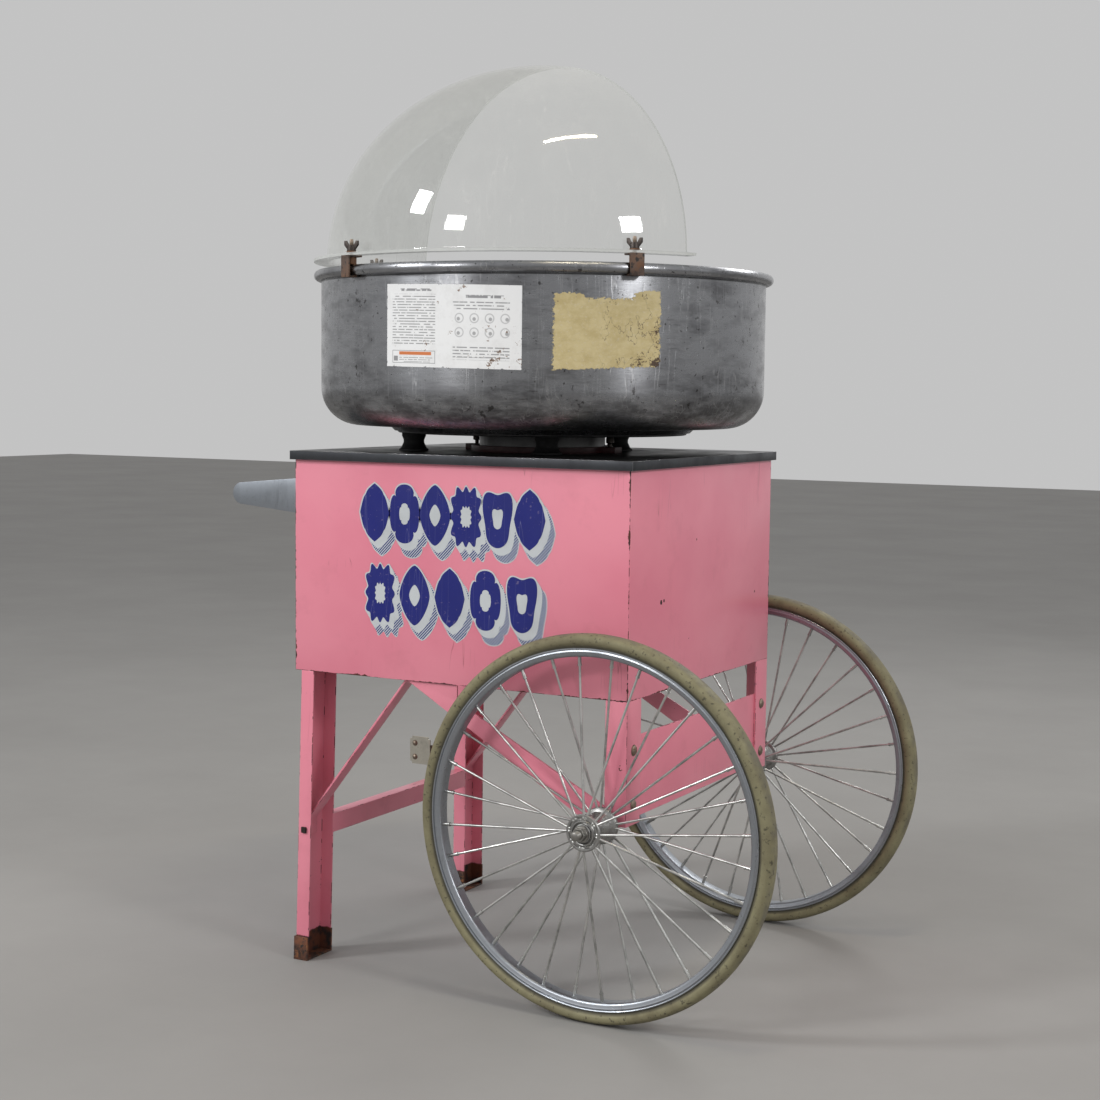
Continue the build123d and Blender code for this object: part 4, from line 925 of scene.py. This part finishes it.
clipBolts = []
boltLow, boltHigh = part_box("clip_bolts")
for corner in ("front", "middle", "rear"):
    low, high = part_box("wing_nut_" + corner)
    x, y = (low.x + high.x) / 2, (low.y + high.y) / 2
    rings = [(0, 0), (2.9, 0)]
    for turn in range(17):
        rings += [(2.5, 0.4 + turn * 1.6), (2.95, 1.2 + turn * 1.6)]
    tall = (boltHigh.z - boltLow.z) / mm
    rings = [(r, z) for r, z in rings if z < tall - 1.4] + [(2.5, tall - 1), (2.0, tall), (0, tall)]
    clipBolts.append(turned("clipBolt", rings, (x, y, boltLow.z), "Z", metals["bolt"], 24, angle=60))
lookOf("clip_bolts", joined("clip_bolts.look", clipBolts), "bolt_steel")


# rubber mounts and thumb screws
mountLow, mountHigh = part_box("rubber_mounts")
mount = {"radius": 18, "foot": 22, "waist": 15.5, "inset": 22}
mountTall = (mountHigh.z - mountLow.z) / mm
mountShape = [
    (0, 0), (mount["foot"], 0), (mount["foot"], 2.4), (mount["radius"] + 1, 4.5),
    (mount["waist"], mountTall * 0.45), (mount["waist"], mountTall * 0.6), (mount["radius"], mountTall - 5),
    (mount["radius"], mountTall), (0, mountTall),
]
feet = [
    turned("mount", mountShape, (x, y, mountLow.z), "Z", blackRubber, 48, angle=40)
    for x in (mountLow.x + mount["inset"] * mm, mountHigh.x - mount["inset"] * mm)
    for y in (mountLow.y + mount["inset"] * mm, mountHigh.y - mount["inset"] * mm)
]
lookOf("rubber_mounts", joined("rubber_mounts.look", feet), "black_rubber")

for place in ("front", "rear"):
    node = "thumb_screw_" + place
    low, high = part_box(node)
    tall = (high.z - low.z) / mm
    shape = [(0, 0), (2.6, 0), (3, 0.6), (3, tall - 10.2)]
    shape += [(r, tall - z) for r, z in ((4.6, 9.6), (6, 8.6), (6, 2.4), (5.2, 0.8), (3.4, 0.2), (0, 0))]
    centre = ((low.x + high.x) / 2, (low.y + high.y) / 2, low.z)
    lookOf(node, turned(node + ".look", shape, centre, "Z", metals["darkNut"], 32, angle=45), "bolt_steel")


# spinning head: ribbed heating band
bandLow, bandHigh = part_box("heating_band")
band = {"Count": 96, "Ring": 0.069, "Height": 0.036, "Width": 0.0022, "Depth": 0.0014}
bandTree = Tree("heatingRibs", band)


def growRibs(tree):
    radius, height, depth = tree.size("Ring"), tree.size("Height"), tree.size("Depth")
    ring = tree.first("GeometryNodeMeshCircle", {}, {"Vertices": tree.size("Count"), "Radius": radius})
    outwards = tree.along(tree.first("GeometryNodeInputPosition"), "X")
    ribs = tree.placed(ring, tree.box(depth, tree.size("Width"), height), {"Rotation": outwards})
    path = tree.first("GeometryNodeCurvePrimitiveCircle", {}, {"Resolution": 96, "Radius": radius})
    wire = tree.first("GeometryNodeCurvePrimitiveCircle", {}, {"Resolution": 8, "Radius": depth * 0.7})
    hoop = tree.first("GeometryNodeCurveToMesh", {}, {"Curve": path, "Profile Curve": wire})
    parts = [ribs]
    for share in (-0.45, -0.15, 0.15, 0.45):
        lift = tree.combine(0.0, 0.0, height * share)
        parts.append(tree.first("GeometryNodeTransform", {}, {"Geometry": hoop, "Translation": lift}))
    tree.close(tree.together(parts), metals["heater"])


growRibs(bandTree)
bandSizes = {"Height": bandHigh.z - bandLow.z, "Ring": (bandHigh.x - bandLow.x) / 2 - 0.001}
bandMesh = bandTree.grow("heating_band.look", bandSizes)
bandMesh.transform(Matrix.Translation((machineX, 0, (bandLow.z + bandHigh.z) / 2)))
lookOf("heating_band", smoothed(bandMesh), "heater_alloy")


# heat knob with flutes and a ring of marks behind it
knobLow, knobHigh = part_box("heat_knob")
knob = {
    "radius": 0.019, "flutes": 18, "flute": 0.0009, "marks": 11, "sweep": 270.0, "markReach": 0.0275,
    "grip": (0.005, 0.008, 0.030), "gripReach": 0.0145,
    "rows": [(1.0, 0.0004), (1.0, 0.0105), (0.93, 0.0128), (0.80, 0.0135)],  # share of the radius, reach
}
knobCentre = ((knobLow.x + knobHigh.x) / 2, panelHigh.y, (knobLow.z + knobHigh.z) / 2)


def knobMesh():
    steps, rows = 108, knob["rows"]
    corners, faces = [], []
    for share, out in rows:
        for step in range(steps):
            turn = math.tau * step / steps
            ripple = knob["flute"] * (0.5 + 0.5 * math.cos(knob["flutes"] * turn)) if share > 0.9 else 0
            reach = knob["radius"] * share - ripple
            spot = (reach * math.cos(turn), out, reach * math.sin(turn))
            corners.append([middle + shift for middle, shift in zip(knobCentre, spot)])
    for row in range(len(rows) - 1):
        for step in range(steps):
            after = (step + 1) % steps
            here, there = row * steps, (row + 1) * steps
            faces.append((here + step, here + after, there + after, there + step))
    faces.append(tuple(range(steps)))
    faces.append(tuple(range((len(rows) - 1) * steps, len(rows) * steps)))
    body = smoothed(cleaned(meshOf("knobBody", corners, faces, phenolic)), 30)
    ridge = (knobCentre[0], knobCentre[1] + knob["gripReach"], knobCentre[2])
    return joined("heat_knob.look", [body, softBox("grip", ridge, knob["grip"], 0.0012, 3, phenolic)])


lookOf("heat_knob", knobMesh(), "black_phenolic")

markPaint = plainFinish("markPaint", (0.02, 0.02, 0.02), 0.5)
markTree = Tree("dialMarks", {
    "Count": 11, "Reach": 0.0245, "Sweep": 270.0, "Length": 0.004, "Width": 0.0009, "Rise": 0.0003,
})


def growMarks(tree):
    points = tree.first("GeometryNodeMeshLine", {}, {"Count": tree.size("Count")})
    index = tree.first("GeometryNodeInputIndex")
    turn = (index / (tree.size("Count") - 1) - 0.5) * tree.size("Sweep") * oneDegree + math.pi / 2
    reach = tree.size("Reach")
    spot = tree.combine(reach * tree.wave("COSINE", turn), 0.0, reach * tree.wave("SINE", turn))
    bar = tree.box(tree.size("Length"), tree.size("Rise"), tree.size("Width"))
    tree.close(tree.placed(tree.at(points, spot), bar, {"Rotation": tree.along(spot, "X")}), markPaint)


growMarks(markTree)
markSizes = {"Count": knob["marks"], "Reach": knob["markReach"], "Sweep": knob["sweep"]}
marks = markTree.grow("dialMarks", markSizes)
marks.transform(Matrix.Translation((knobCentre[0], panelHigh.y + 0.0001, knobCentre[2])))
pieceFrom("dialMarks", marks, "cart", "black_phenolic")
print("small parts done")


# the show side: two rows of printed ornaments, each with a block and a hatched shadow
def inkPaint(name, tint, chipped=0.12, hatch=None):
    paint = Paint(name, {"Coat Roughness": 0.15})
    colour = paint.mix(paint.noise(26, 3).rise(0.4, 0.65) * 0.5, tint, tuple(c * 0.82 for c in tint))
    if hatch:
        x, _, z = paint.split(paint.place)
        stripe = ((x - z) * (1 / hatch["pitch"])) % 1
        colour = paint.mix(stripe.rise(0.36, 0.44) * stripe.rise(1.0, 0.92), colour, hatch["ink"])
    flecks = (paint.noise(150, 4, 0.65) + paint.noise(18, 2) * 0.3).rise(0.79, 0.81) * chipped
    lines = paint.scratches(40, 0.0022, [(0.5, 0.3, 0), (1.2, 0.2, 0.7)]) * 0.25
    paint.feed("Base Color", paint.layers(colour, (flecks, (0.80, 0.62, 0.66)), (lines, (0.45, 0.45, 0.6))))
    paint.feed("Roughness", 0.30 + paint.noise(30, 3) * 0.15)
    return paint


ornament = {
    "rise": 0.00018, "layer": 0.00016, "width": 0.051, "height": 0.086, "border": 0.0022, "outline": 0.0036,
    "block": (0.0060, -0.0080), "shadow": (0.0125, -0.0175), "copies": 7, "opening": 0.36,
    "rows": [
        {
            "left": -0.2060, "right": 0.1010, "top": 0.7165,
            "shapes": ["star", "quatrefoil", "lozenge", "rosette", "tulip", "star"],
        },
        {
            "left": -0.1960, "right": 0.0900, "top": 0.6005,
            "shapes": ["rosette", "lozenge", "star", "quatrefoil", "tulip"],
        },
    ],
}
navyInk = inkPaint("navyInk", (0.006, 0.011, 0.17), 0.12)
blockInk = inkPaint("blockInk", (0.56, 0.585, 0.60), 0.1)
hatchInk = inkPaint("hatchInk", (0.56, 0.585, 0.60), 0.1, {"pitch": 0.0042, "ink": (0.012, 0.03, 0.17)})


def outlineOf(shape, turn):  # reach of an ornament's edge at an angle, 1 = its half size
    square = 1 / (math.cos(turn) ** 4 + math.sin(turn) ** 4) ** 0.25
    if shape == "star":
        return square * (0.72 + 0.26 * abs((turn / (math.pi / 4)) % 2 - 1) ** 1.2)
    if shape == "quatrefoil":
        return square * (0.70 + 0.28 * abs(math.cos(2 * turn)) ** 0.6)
    if shape == "lozenge":
        return 1.0 / (abs(math.cos(turn)) ** 1.5 + abs(math.sin(turn)) ** 1.5) ** 0.667
    if shape == "rosette":
        return square * (0.90 + 0.09 * math.cos(12 * turn))
    return square * (0.86 + 0.10 * math.sin(3 * turn))


def ornamentLoop(shape, centre, shift, grow, share=1.0):
    half = (ornament["width"] / 2, ornament["height"] / 2)
    loop = []
    for step in range(120):
        turn = math.tau * step / 120
        reach = outlineOf(shape, turn) * share
        x = centre[0] + math.cos(turn) * (half[0] * reach + grow) + shift[0]
        loop.append((x, centre[1] + math.sin(turn) * (half[1] * reach + grow) + shift[1]))
    return loop


def printedPlate(name, sheets, paint):  # flat sheets, each a level and its loops, filled between the loops
    work = bmesh.new()
    for level, rings in sheets:
        face = cabinetLow.y - ornament["rise"] - level * ornament["layer"]
        edges = []
        for ring in rings:
            verts = [work.verts.new((x, face, z)) for x, z in ring]
            edges += [work.edges.new((verts[i], verts[(i + 1) % len(verts)])) for i in range(len(verts))]
        bmesh.ops.triangle_fill(work, use_beauty=True, use_dissolve=False, edges=edges)
    for spot in work.faces:
        spot.normal_update()
        if spot.normal.y > 0:
            spot.normal_flip()
    return pieceFrom(name, meshFrom(work, name, paint), "cart", "pink_paint")


def between(first, last, share):
    return tuple(a + (b - a) * share for a, b in zip(first, last))


faces, blocks, shades = [], [], []
for row in ornament["rows"]:
    span = row["right"] - row["left"] - ornament["width"]
    for spot, shape in enumerate(row["shapes"]):
        x = row["left"] + ornament["width"] / 2 + span * spot / (len(row["shapes"]) - 1)
        centre = (x, row["top"] - ornament["height"] / 2)
        rings = [ornamentLoop(shape, centre, (0, 0), 0)]
        if shape != "star":
            rings.append(ornamentLoop(shape, centre, (0, 0), 0, ornament["opening"]))
        faces.append((3, rings))
        for copy in range(ornament["copies"]):  # copies dragged aside make the block and its shadow
            share = copy / (ornament["copies"] - 1)
            drag = between((0, 0), ornament["block"], share)
            blocks.append((2 - copy * 0.08, [ornamentLoop(shape, centre, drag, ornament["border"])]))
            fall = between(ornament["block"], ornament["shadow"], share)
            shades.append((1 - copy * 0.08, [ornamentLoop(shape, centre, fall, ornament["border"])]))
        blocks.append((0.3, [ornamentLoop(shape, centre, ornament["shadow"], ornament["outline"])]))
printedPlate("ornamentFaces", faces, navyInk)
printedPlate("ornamentBlocks", blocks, blockInk)
printedPlate("ornamentShades", shades, hatchInk)
print("ornaments done")


# labels on the bowl: ruled lines and plain shapes only
label = {
    "lift": 0.00035, "steps": 48,
    "white": {"from": -101.2, "to": -66.0, "low": 0.0915, "high": 0.2035, "skew": -0.004},
    "tan": {"from": -59.2, "to": -32.2, "low": 0.0915, "high": 0.1965, "skew": 0.006},
}


def bowlLabel(name, paint, size):
    rows = 16
    work = bmesh.new()
    uv = work.loops.layers.uv.new("sheet")
    grid = []
    for row in range(rows + 1):
        line = []
        for step in range(label["steps"] + 1):
            across, up = step / label["steps"], row / rows
            turn = math.radians(size["from"] + (size["to"] - size["from"]) * across)
            z = bowlLow.z + size["low"] + (size["high"] - size["low"]) * up + size["skew"] * (across - 0.5)
            reach = pan["radius"] * mm + label["lift"]
            vert = work.verts.new((machineX + reach * math.cos(turn), reach * math.sin(turn), z))
            line.append((vert, (across, up)))
        grid.append(line)
    for row in range(rows):
        for step in range(label["steps"]):
            ring = [grid[row][step], grid[row][step + 1], grid[row + 1][step + 1], grid[row + 1][step]]
            face = work.faces.new([vert for vert, _ in ring])
            for loop, (_, place) in zip(face.loops, ring):
                loop[uv].uv = place
    mesh = meshFrom(work, name, paint)
    mesh.shade_smooth()
    return pieceFrom(name, mesh, "bowl", "bowl_aluminium")


def onSheet(paint):
    return paint.split(paint.first("ShaderNodeUVMap", {"uv_map": "sheet"}))[:2]


def within(value, low, high, soft=0.002):
    return value.rise(low - soft, low + soft) * value.rise(high + soft, high - soft)


def whiteLabel():
    paint = Paint("whiteLabel", {"Metallic": 0.0})
    u, v = onSheet(paint)
    aspect = 1.85
    words = paint.combine(u * 46, paint.wave("FLOOR", v * 30) * 3.7, 0.0)
    breaks = paint.noise(1, 1, 0.5, words).rise(0.40, 0.44)

    def area(left, right, low, high):
        return within(u, left, right) * within(v, low, high)

    def ruled(count, half):
        return ((v * count) % 1).line(0.5, half) * breaks

    def disc(x, y, radius):
        return paint.radius((u - x) * aspect, v - y).rise(radius + 0.004, radius - 0.004)

    side = within(v, 0.70, 0.80) + within(v, 0.10, 0.27)
    marks = [
        ruled(30, 0.24) * area(0.05, 0.40, 0.26, 0.88), ruled(26, 0.24) * within(u, 0.53, 0.92) * side,
        area(0.12, 0.37, 0.915, 0.945) * breaks, area(0.62, 0.88, 0.84, 0.875) * breaks,
        area(0.05, 0.40, 0.045, 0.20) - area(0.054, 0.396, 0.052, 0.193),
        ruled(40, 0.22) * area(0.11, 0.38, 0.06, 0.135), area(0.062, 0.098, 0.07, 0.13),
    ]
    for column in range(4):
        for line in range(2):
            x, y = 0.575 + 0.105 * column, 0.60 - 0.17 * line
            ring = disc(x, y, 0.060) - disc(x, y, 0.046)
            marks.append(ring * 0.55 + disc(x + 0.006 * (column - 1), y - 0.01, 0.022) * 0.8)
    dark = marks[0]
    for mark in marks[1:]:
        dark = dark.most(mark)
    worn = paint.noise(1, 5, 0.72, paint.combine(u * 9, v * 4, 1.3)).rise(0.50, 0.64)
    torn = paint.noise(1, 6, 0.75, paint.combine(u * 11, v * 5.5, 4.0))
    corner = u.rise(0.55, 0.95) * v.rise(0.75, 0.1)
    paint.feed("Base Color", paint.layers(
        (0.82, 0.82, 0.82),
        (worn * 0.25, (0.60, 0.59, 0.58)),
        (area(0.11, 0.37, 0.145, 0.185), (0.62, 0.18, 0.05)),
        (dark * 0.72, (0.07, 0.07, 0.08)),
        ((torn + corner * 0.09).rise(0.635, 0.65), (0.20, 0.12, 0.075)),
    ))
    rough = paint.noise(1, 5, 0.75, paint.combine(u * 26, v * 14, 0.4))
    border = u.least(1 - u).least(v.least(1 - v) * (1 / aspect))
    kept = (rough + border.rise(0.010, 0) * 0.12).rise(0.70, 0.69)
    paint.feed("Alpha", kept * (torn + corner * 0.10).rise(0.70, 0.69))
    paint.feed("Roughness", 0.38 + rough * 0.25)
    return paint


def tanLabel():
    paint = Paint("tanLabel", {})
    u, v = onSheet(paint)
    patch = paint.noise(1, 5, 0.7, paint.combine(u * 6, v * 5, 2.0))
    fine = paint.noise(1, 5, 0.72, paint.combine(u * 32, v * 27, 5.0))
    worn = v.rise(0.30, 0.0) * u.rise(0.2, 1.0) * 0.14 + u.rise(0.86, 1.0) * 0.16
    stain = (fine * 0.6 + patch * 0.6 + worn).rise(0.74, 0.78)
    cracks = paint.noise(1, 4, 0.6, paint.combine(u * 5, v * 2, 9.0)).line(0.5, 0.006) * u.rise(0.4, 0.5)
    paint.feed("Base Color", paint.layers(
        (0.60, 0.50, 0.27),
        (patch.rise(0.40, 0.62), (0.50, 0.40, 0.19)),
        (fine.rise(0.56, 0.62) * 0.6, (0.60, 0.52, 0.36)),
        (stain.most(cracks * 0.8), (0.075, 0.045, 0.028)),
    ))
    border = u.least(1 - u).least(v.least(1 - v))
    notch = within(u, 0.28, 0.74, 0.03) * v.rise(0.84, 0.93) * 0.3
    ragged = (fine * 0.7 + patch * 0.3 + border.rise(0.05, 0) * 0.30 + notch).rise(0.70, 0.685)
    paint.feed("Alpha", ragged)
    paint.feed("Roughness", 0.55 + fine * 0.25)
    return paint


bowlLabel("whiteLabel", whiteLabel(), label["white"])
bowlLabel("tanLabel", tanLabel(), label["tan"])
print("labels done")


# floor, light and camera
studio = {
    "floor": (0.30, 0.292, 0.282), "wall": (0.57, 0.57, 0.57), "world": 0.96, "floorHalf": 14,
    "lampAim": 0.75,
    "lamps": [  # name, place, width, height, power, tint
        ("window", (-2.5, -2.7, 3.0), 0.6, 0.8, 74, (0.97, 0.99, 1)),
        ("front", (-1.2, -3.7, 2.4), 0.7, 0.55, 34, (1, 1, 1)),
        ("side", (3.4, -1.0, 2.3), 0.7, 0.55, 42, (1, 1, 1)),
        ("overhead", (0.6, -0.4, 3.3), 0.9, 0.035, 11, (1, 0.88, 0.62)),
        ("back", (0.6, 2.8, 2.7), 2.0, 0.5, 30, (1, 1, 1)),
    ],
}
floorPaint = Paint("floorPaint", {"Specular IOR Level": 0.25})
cloudy = floorPaint.noise(1.6, 6, 0.65)
worn = tuple(c * 0.93 for c in studio["floor"])
floorPaint.feed("Base Color", floorPaint.mix(cloudy.rise(0.35, 0.65), studio["floor"], worn))
floorPaint.feed("Roughness", 0.62 + cloudy * 0.2)
far = studio["floorHalf"]
floorCorners = [(-far, -far, 0), (far, -far, 0), (far, far, 0), (-far, far, 0)]
floorMesh = meshOf("floor", floorCorners, [(0, 1, 2, 3)], floorPaint)
floor = bpy.data.objects.new("floor", floorMesh)
scene.collection.objects.link(floor)

world = bpy.data.worlds.new("studioWorld")
scene.world = world
world.use_nodes = True
world.node_tree.nodes["Background"].inputs[0].default_value = (*studio["wall"], 1)
world.node_tree.nodes["Background"].inputs[1].default_value = studio["world"]

heart = Vector((0, 0, studio["lampAim"]))
for name, spot, wide, tall, power, tint in studio["lamps"]:
    lamp = bpy.data.lights.new(name, "AREA")
    lamp.shape = "RECTANGLE"
    lamp.size, lamp.size_y = wide, tall
    lamp.energy, lamp.color = power, tint
    holder = bpy.data.objects.new(name, lamp)
    holder.location = spot
    holder.rotation_euler = (heart - Vector(spot)).to_track_quat("-Z", "Y").to_euler()
    scene.collection.objects.link(holder)

view = {
    "turn": 28.690, "tilt": 5.001, "roll": 0.618, "lens": 62.09, "sensor": 36.0,
    "place": (1.34925, -2.51591, 0.86036), "farthest": 60,
}
turn, tilt, roll = (math.radians(view[key]) for key in ("turn", "tilt", "roll"))
backwards = Vector((math.sin(turn) * math.cos(tilt), -math.cos(turn) * math.cos(tilt), math.sin(tilt)))
rightwards = Vector((math.cos(turn), math.sin(turn), 0))
upwards = backwards.cross(rightwards)
across = rightwards * math.cos(roll) + upwards * math.sin(roll)
above = upwards * math.cos(roll) - rightwards * math.sin(roll)
lens = bpy.data.cameras.new("camera")
lens.lens, lens.sensor_width = view["lens"], view["sensor"]
lens.clip_end = view["farthest"]
camera = bpy.data.objects.new("camera", lens)
aimed = Matrix((across, above, backwards)).transposed().to_4x4()
camera.matrix_world = Matrix.Translation(view["place"]) @ aimed
scene.collection.objects.link(camera)
scene.camera = camera
scene.view_settings.view_transform = "Standard"
print("studio ready")

bpy.context.view_layer.update()
